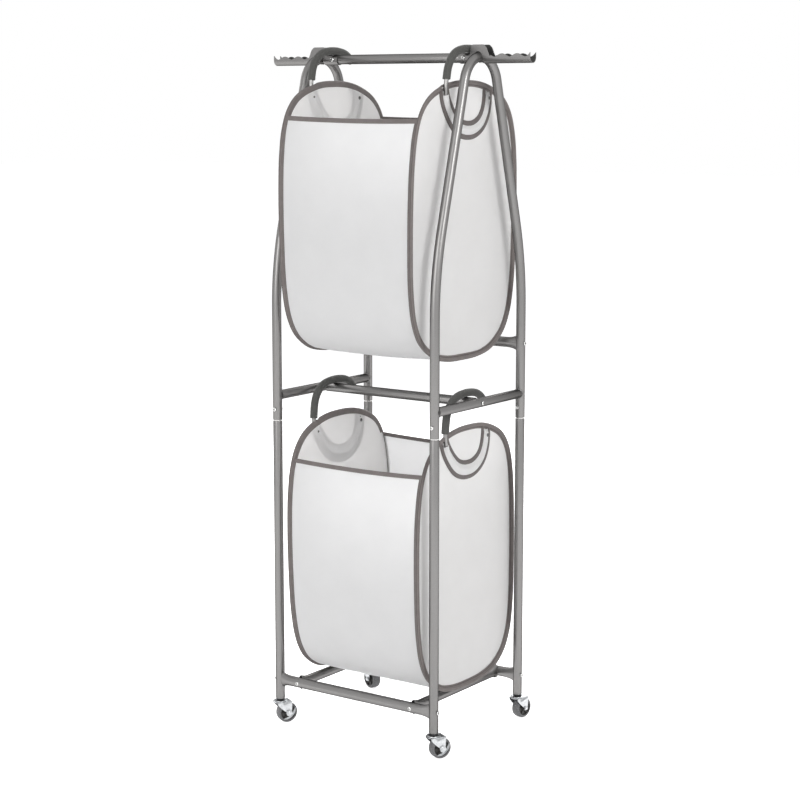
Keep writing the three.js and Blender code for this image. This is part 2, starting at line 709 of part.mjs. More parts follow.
// Foam grip: a sleeve of foam on the rod where the hook sits on the bar
function foamGrip (bin, side) {
  const { tip, foamEnd } = hookAngles(bin)
  const stations = hookStations(bin, tip, foamEnd)
  const longer = hookStations(bin, tip - overrun / hookHalfWidth, foamEnd + overrun / hookHalfWidth)
  const body = cut(sweepInPlane(stations, roundSection(foamRadius, foamSides)),
    sweepInPlane(longer, roundSection(hookRodRadius + 2 * clearance, foamSides)))
  return side > 0 ? body : mirroredX(body)
}

// End panel: fabric sheet, taped wire rim round its edge and the U-shaped sleeve that holds the hook rod
function endPanel (bin, side) {
  const rimMiddle = panelOutline(bin, panelFace + rimThickness / 2, rimWidth / 2)
  const half = rimWidth / 2
  const deep = rimThickness / 2
  const soft = 0.55
  const rimSection = [[half, deep * soft], [half * soft, deep], [-half * soft, deep], [-half, deep * soft],
    [-half, -deep], [half, -deep]]
  const rim = sweepInPlane(rimMiddle, rimSection, true)
  const sheetEdge = panelOutline(bin, 0, rimWidth / 2).map(point => [point.y, point.z])
  const sheet = plateAcross(sheetEdge, panelFace, panelThickness)
  const back = panelFace + panelThickness / 2 - hookPlane
  const crown = hookRodRadius + clearance + sleeveCover
  const hem = panelFace + panelThickness + sleeveCover - hookPlane
  const sleeveSection = [
    [sleeveHalfWidth, hem], [sleeveCrownHalfWidth, crown], [-sleeveCrownHalfWidth, crown],
    [-sleeveHalfWidth, hem], [-sleeveHalfWidth, back], [sleeveHalfWidth, back]
  ]
  const { foamEnd, sleeveFront, sleeveRear } = hookAngles(bin)
  const sleeve = sweepInPlane(hookStations(bin, sleeveFront, sleeveRear), sleeveSection)
  const channel = sweepInPlane(hookStations(bin, foamEnd, sleeveRear + clearance / hookHalfWidth),
    roundSection(hookRodRadius + 2 * clearance, foamSides))
  const body = cut(join(rim, sheet, sleeve), channel)
  return side > 0 ? body : mirroredX(body)
}

// Sling: one sheet down the front, under and up the back, its two top hems rolled round a rod
function sling (bin) {
  const reach = panelFace - clearance
  const frontHemHeight = bin.bar - bin.frontHemDrop
  const rearHemHeight = bin.bar - bin.rearHemDrop
  const outline = panelOutline(bin, 0, slingInset + slingThickness / 2)
  const lowest = outline.findIndex(point => point.z > rearHemHeight)
  const count = outline.length
  let first = count - 1
  while (outline[first].z <= frontHemHeight) first--
  const stations = []
  for (let i = first + 1; i < count + lowest; i++) stations.push(outline[i % count])
  const meet = (inside, outside, height) => {
    const share = (height - inside.z) / (outside.z - inside.z)
    return inside.clone().lerp(outside, share)
  }
  const front = meet(outline[(first + 1) % count], outline[first], frontHemHeight)
  const rear = meet(outline[lowest - 1], outline[lowest], rearHemHeight)
  const thin = slingThickness / 2
  const section = [[thin, reach], [-thin, reach], [-thin, -reach], [thin, -reach]]
  const sheet = sweepInPlane([front, ...stations, rear], section)
  const hems = [front, rear].map(end => {
    return cylinder(new THREE.Vector3(-reach, end.y, end.z), alongX, 2 * reach, hemRadius, foamSides)
  })
  return join(sheet, ...hems)
}

// The hanging fabric draws in and drifts a little towards its foot, below the bar
function hang (geometry, bin) {
  const hung = geometry.clone()
  const place = hung.attributes.position
  for (let i = 0; i < place.count; i++) {
    const fall = Math.max(0, (bin.bar - place.getZ(i)) / (bin.bar - bin.foot))
    const x = place.getX(i)
    place.setX(i, x + fall * (bin.drift - bin.taper * x / panelFace))
  }
  return hung
}

// Every piece takes its own material, so that each can be looked at alone
function piece (name, finish, geometry) {
  const mesh = new THREE.Mesh(geometryOf(solid(geometry)), new THREE.MeshStandardMaterial(finishes[finish]))
  mesh.name = name
  return mesh
}

const group = new THREE.Group()
const sides = [['left', -1], ['right', 1]]
const ends = [['front', -1], ['rear', 1]]

for (const [sideName, side] of sides) {
  group.add(piece(`arch_${sideName}`, 'frame', arch(side)))
  group.add(piece(`side_bar_${sideName}`, 'frame', sideBar(side)))
  group.add(piece(`hanger_arm_${sideName}`, 'frame', hangerArm(side)))
  group.add(piece(`bin_rest_${sideName}`, 'frame', binRest(side)))
  group.add(piece(`arm_screw_${sideName}`, 'screw', armScrew(side)))
  group.add(piece(`centre_bar_screw_${sideName}`, 'screw', endScrew(side, 0, middleBarHeight)))
  group.add(piece(`upper_rail_screw_${sideName}`, 'screw', endScrew(side, legHalfSpanY, upperRailHeight)))
}

group.add(piece('centre_bar', 'frame', centreBar()))
group.add(piece('top_bar', 'frame', topBar()))
group.add(piece('upper_rear_rail', 'frame', legRail(legHalfSpanY, upperRailHeight, false)))

for (const [endName, end] of ends) {
  group.add(piece(`lower_${endName}_rail`, 'frame', legRail(end * legHalfSpanY, lowerRailHeight, true)))
  for (const [sideName, side] of sides) {
    const corner = `${endName}_${sideName}`
    const x = side * legHalfSpanX
    const y = end * legHalfSpanY
    group.add(piece(`leg_${corner}`, 'frame', leg(x, y)))
    group.add(piece(`joint_bolt_${corner}`, 'screw', jointBolt(x, end)))
    group.add(piece(`lower_rail_screw_${corner}`, 'screw', endScrew(side, y, lowerRailHeight)))
    group.add(piece(`caster_socket_${corner}`, 'socket', casterSocket(x, y)))
    const caster = new THREE.Group()
    caster.add(piece(`caster_fork_${corner}`, 'zinc', casterFork()))
    caster.add(piece(`wheel_${corner}`, 'tyre', wheel()))
    if (end < 0) caster.add(piece(`brake_lever_${corner}`, 'zinc', brakeLever()))
    caster.position.set(x, y, 0)
    caster.rotation.z = THREE.MathUtils.degToRad(casterTurns[corner])
    group.add(caster)
  }
}

for (const [binName, bin] of Object.entries(bins)) {
  group.add(piece(`${binName}_bin_sling`, 'sling', hang(sling(bin), bin)))
  for (const [sideName, side] of sides) {
    group.add(piece(`${binName}_bin_panel_${sideName}`, 'panel', hang(endPanel(bin, side), bin)))
    group.add(piece(`${binName}_bin_hook_${sideName}`, 'hook', hang(hookRod(bin, side), bin)))
    group.add(piece(`${binName}_bin_grip_${sideName}`, 'foam', hang(foamGrip(bin, side), bin)))
  }
}

export default group
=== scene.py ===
import math

import bmesh
import bpy
from mathutils import Matrix, Vector, noise


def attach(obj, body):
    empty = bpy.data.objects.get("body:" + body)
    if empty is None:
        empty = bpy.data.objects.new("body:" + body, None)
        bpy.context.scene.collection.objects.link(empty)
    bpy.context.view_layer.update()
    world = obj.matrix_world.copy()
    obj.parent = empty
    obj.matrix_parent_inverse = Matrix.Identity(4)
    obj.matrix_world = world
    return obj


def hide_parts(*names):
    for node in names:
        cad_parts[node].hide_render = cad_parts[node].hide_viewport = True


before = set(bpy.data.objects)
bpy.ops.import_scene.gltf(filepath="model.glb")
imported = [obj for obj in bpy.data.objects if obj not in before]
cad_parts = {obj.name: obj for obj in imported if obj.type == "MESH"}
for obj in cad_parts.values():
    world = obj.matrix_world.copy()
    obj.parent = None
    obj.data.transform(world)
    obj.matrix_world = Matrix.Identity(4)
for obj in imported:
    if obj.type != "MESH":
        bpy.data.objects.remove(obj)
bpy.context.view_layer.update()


# The studio: a plain pale floor in a white surround, lit by soft lamps on all sides. The key lamp stands to
# the right and draws the bright lines on the tubes. The camera stands in front and to the right, at chest
# height, and looks slightly down.
surround_light = 0.33
floor_light = 0.76
camera_place = (2.620, -3.672, 1.499)
camera_tilt = 8.9455
camera_turn = 35.486
camera_lens = 86.62


def rest_tools():
    """Leaves edit mode and lets go of everything, so that the next piece starts clean."""
    if bpy.context.object and bpy.context.object.mode != "OBJECT":
        bpy.ops.object.mode_set(mode="OBJECT")
    bpy.ops.object.select_all(action="DESELECT")


def reckoned(nodes, links, operation, first, second, third=None):
    """A sum on two or three values, each a plain number or the output of another node."""
    step = nodes.new("ShaderNodeMath")
    step.operation = operation
    for socket, value in zip(step.inputs, (first, second, third)):
        if isinstance(value, float):
            socket.default_value = value
        elif value is not None:
            links.new(value, socket)
    return step.outputs[0]


def seen_rays(nodes, links):
    """One where a surface is seen, straight on or in a reflection, and nothing where it only gives light."""
    rays = nodes.new("ShaderNodeLightPath").outputs
    seen = reckoned(nodes, links, "MAXIMUM", rays["Is Camera Ray"], rays["Is Glossy Ray"])
    return reckoned(nodes, links, "MAXIMUM", seen, rays["Is Transmission Ray"])


world = bpy.data.worlds.new("studio")
bpy.context.scene.world = world
world.use_nodes = True
world_nodes, world_links = world.node_tree.nodes, world.node_tree.links
lit = world_nodes["Background"]
lit.inputs["Color"].default_value = (1.0, 1.0, 1.0, 1.0)
lit.inputs["Strength"].default_value = surround_light
white = world_nodes.new("ShaderNodeBackground")
white.inputs["Color"].default_value = (1.0, 1.0, 1.0, 1.0)
white.inputs["Strength"].default_value = 1.0
world_mix = world_nodes.new("ShaderNodeMixShader")
world_links.new(seen_rays(world_nodes, world_links), world_mix.inputs["Fac"])
world_links.new(lit.outputs[0], world_mix.inputs[1])
world_links.new(white.outputs[0], world_mix.inputs[2])
world_links.new(world_mix.outputs[0], world_nodes["World Output"].inputs["Surface"])

rest_tools()
bpy.ops.mesh.primitive_plane_add(size=60.0, location=(0.0, 0.0, 0.0))
floor = bpy.context.object
floor.name = "floor"
floor_paint = bpy.data.materials.new("pale_floor")
floor_paint.use_nodes = True
floor_nodes, floor_links = floor_paint.node_tree.nodes, floor_paint.node_tree.links
floor_skin = floor_nodes["Principled BSDF"]
floor_skin.inputs["Base Color"].default_value = (0.92, 0.92, 0.92, 1.0)
floor_skin.inputs["Roughness"].default_value = 0.9
floor_skin.inputs["Specular IOR Level"].default_value = 0.1
floor_glow = floor_nodes.new("ShaderNodeEmission")
floor_glow.inputs["Strength"].default_value = floor_light
floor_off = floor_nodes.new("ShaderNodeEmission")
floor_off.inputs["Strength"].default_value = 0.0
floor_pick = floor_nodes.new("ShaderNodeMixShader")
floor_sum = floor_nodes.new("ShaderNodeAddShader")
floor_links.new(seen_rays(floor_nodes, floor_links), floor_pick.inputs["Fac"])
floor_links.new(floor_off.outputs[0], floor_pick.inputs[1])
floor_links.new(floor_glow.outputs[0], floor_pick.inputs[2])
floor_links.new(floor_skin.outputs[0], floor_sum.inputs[0])
floor_links.new(floor_pick.outputs[0], floor_sum.inputs[1])
floor_links.new(floor_sum.outputs[0], floor_nodes["Material Output"].inputs["Surface"])
floor.data.materials.append(floor_paint)

# Each lamp's place, width and power.
lamps = {
    "key": ((3.4, -1.4, 2.7), 1.3, 54.0),
    "side": ((4.1, -0.4, 2.6), 2.6, 10.0),
    "front": ((0.0, -4.2, 2.1), 2.4, 55.0),
    "catch": ((2.3, -3.9, 2.1), 0.42, 4.0),
    "left": ((-4.0, 0.6, 2.4), 2.6, 80.0),
    "back": ((-1.0, 3.8, 2.4), 2.4, 130.0),
}
look_at = Vector((0.0, 0.0, 0.95))
for lamp_name, (place, size, power) in lamps.items():
    lamp_data = bpy.data.lights.new(lamp_name, "AREA")
    lamp_data.shape = "DISK"
    lamp_data.size = size
    lamp_data.energy = power
    lamp = bpy.data.objects.new(lamp_name, lamp_data)
    lamp.location = place
    lamp.rotation_euler = (look_at - Vector(place)).to_track_quat("-Z", "Y").to_euler()
    bpy.context.scene.collection.objects.link(lamp)

camera_data = bpy.data.cameras.new("camera")
camera_data.sensor_width = 36.0
camera_data.lens = camera_lens
camera_data.clip_end = 50.0
camera = bpy.data.objects.new("camera", camera_data)
camera.location = camera_place
camera.rotation_euler = (math.radians(90.0 - camera_tilt), 0.0, math.radians(camera_turn))
bpy.context.scene.collection.objects.link(camera)
bpy.context.scene.camera = camera
bpy.context.scene.view_settings.view_transform = "Standard"


# Caster sockets: black moulded plugs pressed up into the feet of the legs. A ribbed collar stays in
# sight between the tube and the caster's swivel plate.
leg_x = 0.225
leg_y = 0.180
leg_foot = 0.0616
nearly_nothing = 0.00001
# Each corner's x and y, and the way its caster points, in degrees.
corners = {
    "front_left": (-leg_x, -leg_y, 63.0),
    "front_right": (leg_x, -leg_y, 63.0),
    "rear_left": (-leg_x, leg_y, -20.0),
    "rear_right": (leg_x, leg_y, 81.0),
}


def push(step):
    """Extrudes whatever is selected by one step."""
    bpy.ops.mesh.extrude_region_move(TRANSFORM_OT_translate={"value": step})


def settled(piece, smooth_angle=40.0):
    """Merges doubles, turns faces outwards and shades soft all but the sharp edges."""
    rest_tools()
    bpy.context.view_layer.objects.active = piece
    piece.select_set(True)
    bpy.ops.object.mode_set(mode="EDIT")
    bpy.ops.mesh.select_all(action="SELECT")
    bpy.ops.mesh.remove_doubles(threshold=3.0 * nearly_nothing)
    bpy.ops.mesh.normals_make_consistent(inside=False)
    bpy.ops.object.mode_set(mode="OBJECT")
    bpy.ops.object.transform_apply(location=True, rotation=True, scale=True)
    bpy.ops.object.shade_smooth_by_angle(angle=math.radians(smooth_angle))
    return piece


def with_modifier(piece, kind, **settings):
    """Adds a modifier, sets it and applies it to the mesh."""
    rest_tools()
    bpy.context.view_layer.objects.active = piece
    piece.select_set(True)
    modifier = piece.modifiers.new(kind.lower(), kind)
    for setting, value in settings.items():
        setattr(modifier, setting, value)
    bpy.ops.object.modifier_apply(modifier=modifier.name)
    return piece


def turned_piece(name, profile, sides=40):
    """A ring pushed up and drawn in or out to each radius and height in turn, as if on a lathe."""
    rest_tools()
    radius, height = max(profile[0][0], nearly_nothing), profile[0][1]
    bpy.ops.mesh.primitive_circle_add(vertices=sides, radius=radius, location=(0.0, 0.0, height))
    piece = bpy.context.object
    piece.name = name
    bpy.ops.object.mode_set(mode="EDIT")
    bpy.ops.mesh.select_all(action="SELECT")
    for next_radius, next_height in profile[1:]:
        next_radius = max(next_radius, nearly_nothing)
        push((0.0, 0.0, next_height - height))
        draw = next_radius / radius
        bpy.ops.transform.resize(value=(draw, draw, 1.0), center_override=(0.0, 0.0, next_height))
        radius, height = next_radius, next_height
    return settled(piece)


def copied(piece, name, place):
    """A copy with its own mesh, moved by a matrix in the mesh itself."""
    twin = bpy.data.objects.new(name, piece.data.copy())
    twin.data.transform(place)
    if place.determinant() < 0.0:
        twin.data.flip_normals()
    bpy.context.scene.collection.objects.link(twin)
    return twin


def plain_finish(name, colour, metallic, roughness):
    """A new material with its plain values, and its nodes, links and main shader."""
    finish = bpy.data.materials.new(name)
    finish.use_nodes = True
    skin = finish.node_tree.nodes["Principled BSDF"]
    skin.inputs["Base Color"].default_value = (*colour, 1.0)
    skin.inputs["Metallic"].default_value = metallic
    skin.inputs["Roughness"].default_value = roughness
    return finish, finish.node_tree.nodes, finish.node_tree.links, skin


def grain_of(nodes, links, scale, detail):
    """Noise on the piece's own coordinates."""
    place = nodes.new("ShaderNodeTexCoord")
    grain = nodes.new("ShaderNodeTexNoise")
    grain.inputs["Scale"].default_value = scale
    grain.inputs["Detail"].default_value = detail
    links.new(place.outputs["Object"], grain.inputs["Vector"])
    return grain.outputs["Fac"]


def two_tints(nodes, links, grain, dark, light, dark_end=0.35):
    """A colour that wanders between two tints with the grain."""
    tint = nodes.new("ShaderNodeValToRGB")
    tint.color_ramp.elements[0].position = dark_end
    tint.color_ramp.elements[0].color = (*dark, 1.0)
    tint.color_ramp.elements[1].position = 1.0 - dark_end
    tint.color_ramp.elements[1].color = (*light, 1.0)
    links.new(grain, tint.inputs["Fac"])
    return tint.outputs["Color"]


def raised(nodes, links, height, strength, depth, under=None):
    """A surface lifted by a pattern, over another lifted surface if there is one."""
    lift = nodes.new("ShaderNodeBump")
    lift.inputs["Strength"].default_value = strength
    lift.inputs["Distance"].default_value = depth
    links.new(height, lift.inputs["Height"])
    if under is not None:
        links.new(under, lift.inputs["Normal"])
    return lift.outputs["Normal"]


def speckled_finish(name, colour, metallic, roughness, scale, rough_range, bump, depth, tints,
                    black_edges=False, detail=4.0):
    """A finish whose fine grain varies its roughness and its tint and lifts its surface a little."""
    finish, nodes, links, skin = plain_finish(name, colour, metallic, roughness)
    grain = grain_of(nodes, links, scale, detail)
    spread = nodes.new("ShaderNodeMapRange")
    spread.inputs["To Min"].default_value = rough_range[0]
    spread.inputs["To Max"].default_value = rough_range[1]
    links.new(grain, spread.inputs["Value"])
    links.new(spread.outputs["Result"], skin.inputs["Roughness"])
    links.new(raised(nodes, links, grain, bump, depth), skin.inputs["Normal"])
    links.new(two_tints(nodes, links, grain, *tints), skin.inputs["Base Color"])
    if black_edges:
        skin.inputs["Specular Tint"].default_value = (0.0, 0.0, 0.0, 1.0)
    return finish


black_plastic = speckled_finish("black_moulded_plastic", (0.02, 0.02, 0.022), 0.0, 0.5, 900.0, (0.42, 0.6),
                                0.15, 0.0002, ((0.016, 0.016, 0.018), (0.03, 0.03, 0.033)))

socket_profile = [
    (0.0045, 0.0571), (0.0100, 0.0571), (0.0104, 0.0576), (0.0104, 0.0584), (0.0099, 0.0589),
    (0.0082, 0.0591), (0.0080, 0.0598), (0.0082, 0.0604), (0.0100, 0.0606), (0.0104, 0.0610),
    (0.0104, 0.0616), (0.0094, 0.0618), (0.0094, 0.0976), (0.0045, 0.0976), (0.0045, 0.0571),
]
socket_master = turned_piece("socket_master", socket_profile)
socket_master.data.materials.append(black_plastic)
for corner, (x, y, turn) in corners.items():
    socket = copied(socket_master, f"socket_plug_{corner}", Matrix.Translation((x, y, 0.0)))
    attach(socket, "frame")
    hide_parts(f"caster_socket_{corner}")
bpy.data.objects.remove(socket_master)


# Caster forks: zinc-plated pressings. A grooved swivel plate carries the ball race, and two cheeks bent
# down from a crown hold the wheel's riveted axle behind the swivel's centre.
wheel_radius = 0.025
trail = 0.016
crown_foot = 0.0516
cheek_wall = 0.0018
cheek_inside = 0.0126

zinc = speckled_finish("bright_zinc_plate", (0.56, 0.575, 0.59), 1.0, 0.3, 260.0, (0.24, 0.40), 0.08, 0.0002,
                       ((0.48, 0.495, 0.51), (0.64, 0.65, 0.66)), black_edges=True)


def flat_outline(name, points, axis_y):
    """A flat face standing at one y: a ring of as many corners, each pulled to its x and z in turn."""
    rest_tools()
    bpy.ops.mesh.primitive_circle_add(vertices=len(points), radius=0.01, fill_type="NGON")
    piece = bpy.context.object
    piece.name = name
    bpy.ops.object.mode_set(mode="EDIT")
    bpy.ops.mesh.select_mode(type="VERT")
    for i, (x, z) in enumerate(points):
        bpy.ops.mesh.select_all(action="DESELECT")
        net = bmesh.from_edit_mesh(piece.data)
        net.verts.ensure_lookup_table()
        net.verts[i].select_set(True)
        pull = Vector((x, axis_y, z)) - net.verts[i].co
        bmesh.update_edit_mesh(piece.data)
        bpy.ops.transform.translate(value=pull)
    bpy.ops.object.mode_set(mode="OBJECT")
    return piece


def at_corner(corner):
    """The place of a caster that stands under its leg and points its own way."""
    x, y, turn = corners[corner]
    return Matrix.Translation((x, y, 0.0)) @ Matrix.Rotation(math.radians(turn), 4, "Z")


def joined(name, pieces):
    """Several pieces made one object, under one name."""
    rest_tools()
    for part in pieces:
        part.select_set(True)
    bpy.context.view_layer.objects.active = pieces[0]
    bpy.ops.object.join()
    pieces[0].name = name
    return pieces[0]


def arc_points(centre, radius, start, end, steps):
    """Points on an arc, in degrees from the first axis towards the second."""
    found = []
    for i in range(steps + 1):
        angle = math.radians(start + (end - start) * i / steps)
        found.append((centre[0] + radius * math.cos(angle), centre[1] + radius * math.sin(angle)))
    return found


swivel_profile = [
    (0.0, 0.0513), (0.0150, 0.0513), (0.0166, 0.0519), (0.0168, 0.0528), (0.0160, 0.0535),
    (0.0144, 0.0538), (0.0144, 0.0545), (0.0158, 0.0548), (0.0164, 0.0555), (0.0160, 0.0563),
    (0.0140, 0.0569), (0.0112, 0.0566), (0.0106, 0.0560), (0.0042, 0.0560), (0.0040, 0.0900),
    (0.0036, 0.0910), (0.0, 0.0910),
]
swivel_master = turned_piece("swivel_master", swivel_profile, 48)

cheek_ahead = 0.0135
cheek_behind = trail + 0.0088
front_edge = (-0.0130, crown_foot - 0.0030)
eye_edge = (trail - 0.0055, wheel_radius + 0.0010)
cheek_outline = [(-cheek_ahead, crown_foot + 0.0010), front_edge]
for i in range(9):
    share = i / 8.0
    cheek_outline.append((front_edge[0] + (eye_edge[0] - front_edge[0]) * share,
                          front_edge[1] + (eye_edge[1] - front_edge[1]) * share ** 0.80))
cheek_outline += arc_points((trail, wheel_radius), 0.0060, 190.0, 340.0, 8)
cheek_outline += [(cheek_behind - 0.0010, wheel_radius + 0.0070), (cheek_behind, crown_foot - 0.0020),
                  (cheek_behind, crown_foot + 0.0010)]
cheeks = []
for side in (-1, 1):
    cheek = flat_outline("cheek", cheek_outline, side * (cheek_inside + cheek_wall / 2.0))
    with_modifier(cheek, "SOLIDIFY", thickness=cheek_wall, offset=0.0)
    cheeks.append(cheek)
rest_tools()
crown_middle = ((cheek_behind - cheek_ahead) / 2.0, 0.0, crown_foot + cheek_wall / 2.0 - 0.0002)
bpy.ops.mesh.primitive_cube_add(size=1.0, location=crown_middle)
crown = bpy.context.object
bpy.ops.object.mode_set(mode="EDIT")
bpy.ops.mesh.select_all(action="SELECT")
crown_size = (cheek_behind + cheek_ahead, 2.0 * (cheek_inside + cheek_wall), cheek_wall)
bpy.ops.transform.resize(value=crown_size, center_override=crown_middle)
bpy.ops.object.mode_set(mode="OBJECT")
for cheek in cheeks:
    with_modifier(crown, "BOOLEAN", operation="UNION", object=cheek, solver="EXACT")
    bpy.data.objects.remove(cheek)
settled(crown)
with_modifier(crown, "BEVEL", width=0.0006, segments=3, limit_method="ANGLE", angle_limit=math.radians(50.0))
crown.data.materials.append(zinc)
swivel_master.data.materials.append(zinc)
axle_profile = [
    (0.0, -0.0192), (0.0026, -0.0190), (0.0042, -0.0180), (0.0046, -0.0168), (0.0030, -0.0166),
    (0.0030, 0.0148), (0.0050, 0.0150), (0.0050, 0.0160), (0.0036, 0.0174), (0.0, 0.0178),
]
axle_master = turned_piece("axle_master", axle_profile, 28)
axle_master.data.transform(Matrix.Rotation(math.radians(-90.0), 4, "X"))
axle_master.data.transform(Matrix.Translation((trail, 0.0, wheel_radius)))
axle_master.data.materials.append(zinc)
fork_master = joined("fork_master", [crown, swivel_master, axle_master])
settled(fork_master, 35.0)
for corner in corners:
    fork = copied(fork_master, f"fork_{corner}", at_corner(corner))
    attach(fork, f"caster_{corner}")
    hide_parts(f"caster_fork_{corner}")
bpy.data.objects.remove(fork_master)


# Caster wheels: a dark nylon centre with a hub, a thin web and ribs, inside a hard grey tread with
# rounded shoulders.
tread_grey = speckled_finish("hard_grey_tread", (0.16, 0.16, 0.165), 0.0, 0.55, 420.0, (0.45, 0.7), 0.2,
                             0.0003, ((0.11, 0.11, 0.115), (0.20, 0.20, 0.205)))
dark_centre = speckled_finish("dark_nylon_centre", (0.025, 0.023, 0.022), 0.0, 0.4, 700.0, (0.3, 0.5), 0.1,
                              0.0002, ((0.02, 0.018, 0.017), (0.036, 0.034, 0.032)))

tread_half = [(0.0190, 0.0102), (0.0200, 0.0108), (0.0222, 0.0106), (0.0238, 0.0094), (0.0247, 0.0074),
              (0.0250, 0.0046)]
tread_profile = [(r, -h) for r, h in tread_half] + [(r, h) for r, h in reversed(tread_half)]
tread_profile.append(tread_profile[0])
centre_half = [(0.0032, 0.0113), (0.0070, 0.0113), (0.0078, 0.0106), (0.0080, 0.0070), (0.0095, 0.0058),
               (0.0170, 0.0058), (0.0182, 0.0068), (0.0184, 0.0098), (0.0191, 0.0101)]
centre_profile = [(r, -h) for r, h in centre_half] + [(r, h) for r, h in reversed(centre_half)]
centre_profile.append(centre_profile[0])
lay_down = Matrix.Translation((trail, 0.0, wheel_radius)) @ Matrix.Rotation(math.radians(-90.0), 4, "X")
tread_master = turned_piece("tread_master", tread_profile, 64)
tread_master.data.transform(lay_down)
tread_master.data.materials.append(tread_grey)
centre_master = turned_piece("centre_master", centre_profile, 64)
centre_master.data.transform(lay_down)
centre_master.data.materials.append(dark_centre)
rib_count = 6
rib_size = (0.0115, 0.0018, 0.0176)
rib_middle = 0.0130
ribs = []
for i in range(rib_count):
    rest_tools()
    bpy.ops.mesh.primitive_cube_add(size=1.0, location=(0.0, 0.0, 0.0))
    rib = bpy.context.object
    rib.data.transform(Matrix.Translation((rib_middle, 0.0, 0.0)) @ Matrix.Diagonal((*rib_size, 1.0)))
    with_modifier(rib, "BEVEL", width=0.0004, segments=2)
    rib.data.transform(lay_down @ Matrix.Rotation(2.0 * math.pi * i / rib_count, 4, "Z"))
    rib.data.materials.append(dark_centre)
    ribs.append(rib)
centre_master = joined("centre_master", [centre_master] + ribs)
settled(centre_master)
for corner in corners:
    for master, word in ((tread_master, "tread"), (centre_master, "wheel_centre")):
        part = copied(master, f"{word}_{corner}", at_corner(corner))
        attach(part, f"caster_wheel_{corner}")
        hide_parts(f"wheel_{corner}")
bpy.data.objects.remove(tread_master)
bpy.data.objects.remove(centre_master)


# Brake levers: pressed zinc straps that rock on the outer end of the front axles. A turned-out lip runs
# along the lower edge and curls into a thumb tab at each end.
lever_face = cheek_inside + cheek_wall + 0.0004
lever_wall = 0.0013
lever_lip = 0.0030
tab_reach = 0.0200
waist_draw = 0.0100
back_reach = 0.0160
back_draw = 0.0085
lever_eye = 0.0082


def lever_edge(start, end, steps, reach, waist, curve):
    """Points round the axle, in degrees from one tab to the other, drawn in towards the middle."""
    found = []
    for i in range(steps + 1):
        share = i / steps
        angle = math.radians(start + (end - start) * share)
        out = reach - waist * math.sin(math.pi * share) ** curve
        found.append((trail + out * math.cos(angle), wheel_radius + out * math.sin(angle)))
    return found


lever_arc = lever_edge(222.0, 400.0, 14, tab_reach, waist_draw, 0.8)
lever_back = lever_edge(392.0, 228.0, 12, back_reach, back_draw, 0.6)
lever_back[4:9] = arc_points((trail, wheel_radius), lever_eye, 65.3333, 182.6667, 4)
lever = flat_outline("lever", lever_arc + lever_back, -lever_face - lever_wall / 2.0)
rest_tools()
bpy.context.view_layer.objects.active = lever
lever.select_set(True)
lip_count = len(lever_arc)
for edge in lever.data.edges:
    edge.select = all(index < lip_count for index in edge.vertices) and \
        abs(edge.vertices[0] - edge.vertices[1]) == 1
for vertex in lever.data.vertices:
    vertex.select = vertex.index < lip_count
for face in lever.data.polygons:
    face.select = False
bpy.ops.object.mode_set(mode="EDIT")
bpy.ops.mesh.select_mode(type="EDGE")
push((0.0, -lever_lip, 0.0))
bpy.ops.object.mode_set(mode="OBJECT")
with_modifier(lever, "SOLIDIFY", thickness=lever_wall, offset=0.0)
with_modifier(lever, "BEVEL", width=0.0004, segments=2, limit_method="ANGLE", angle_limit=math.radians(45.0))
settled(lever, 35.0)
hub_profile = [(0.0034, 0.0), (0.0074, 0.0), (0.0078, 0.0006), (0.0076, 0.0014), (0.0058, 0.0018),
               (0.0052, 0.0012), (0.0034, 0.0012), (0.0034, 0.0)]
hub = turned_piece("hub", hub_profile, 32)
hub.data.transform(Matrix.Rotation(math.radians(90.0), 4, "X"))
hub.data.transform(Matrix.Translation((trail, -lever_face - lever_wall, wheel_radius)))
lever = joined("lever_master", [lever, hub])
settled(lever, 35.0)
lever.data.materials.clear()
lever.data.materials.append(zinc)
for corner in ("front_left", "front_right"):
    brake = copied(lever, f"brake_strap_{corner}", at_corner(corner))
    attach(brake, f"caster_brake_{corner}")
    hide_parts(f"brake_lever_{corner}")
bpy.data.objects.remove(lever)


# Lower legs: drawn steel tube with a satin silver-grey powder coat. A rolled shoulder ends in a bare
# steel spigot that the arch slides down over.
tube_radius = 0.011
tube_wall = 0.0012
leg_joint = 0.743
joint_gap = 0.0018

silver_coat = speckled_finish("silver_powder_coat", (0.230, 0.225, 0.222), 0.9, 0.36, 1400.0, (0.29, 0.40),
                              0.12, 0.0001, ((0.206, 0.202, 0.199), (0.254, 0.248, 0.245)), black_edges=True)
silver_coat.node_tree.nodes["Principled BSDF"].inputs["Specular IOR Level"].default_value = 0.25
bare_steel = speckled_finish("bare_drawn_steel", (0.75, 0.74, 0.72), 1.0, 0.25, 500.0, (0.2, 0.32), 0.05,
                             0.0001, ((0.68, 0.67, 0.65), (0.8, 0.79, 0.78)))

spigot_top = leg_joint + 0.045
leg_profile = [
    (0.0098, leg_foot), (0.0106, leg_foot), (0.0110, leg_foot + 0.0005), (0.0110, leg_joint - 0.0016),
    (0.0108, leg_joint - 0.0008), (0.0103, leg_joint - 0.0002), (0.0095, leg_joint), (0.0095, spigot_top),
    (0.0083, spigot_top), (0.0083, leg_joint - 0.004), (0.0098, leg_joint - 0.010), (0.0098, leg_foot),
]
leg_master = turned_piece("leg_master", leg_profile, 32)
leg_master.data.materials.append(silver_coat)
leg_master.data.materials.append(bare_steel)
for face in leg_master.data.polygons:
    face.material_index = 1 if face.center.z > leg_joint - 0.0001 else 0
for corner, (x, y, turn) in corners.items():
    leg = copied(leg_master, f"lower_leg_{corner}", Matrix.Translation((x, y, 0.0)))
    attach(leg, "frame")
    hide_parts(f"leg_{corner}")
bpy.data.objects.remove(leg_master)


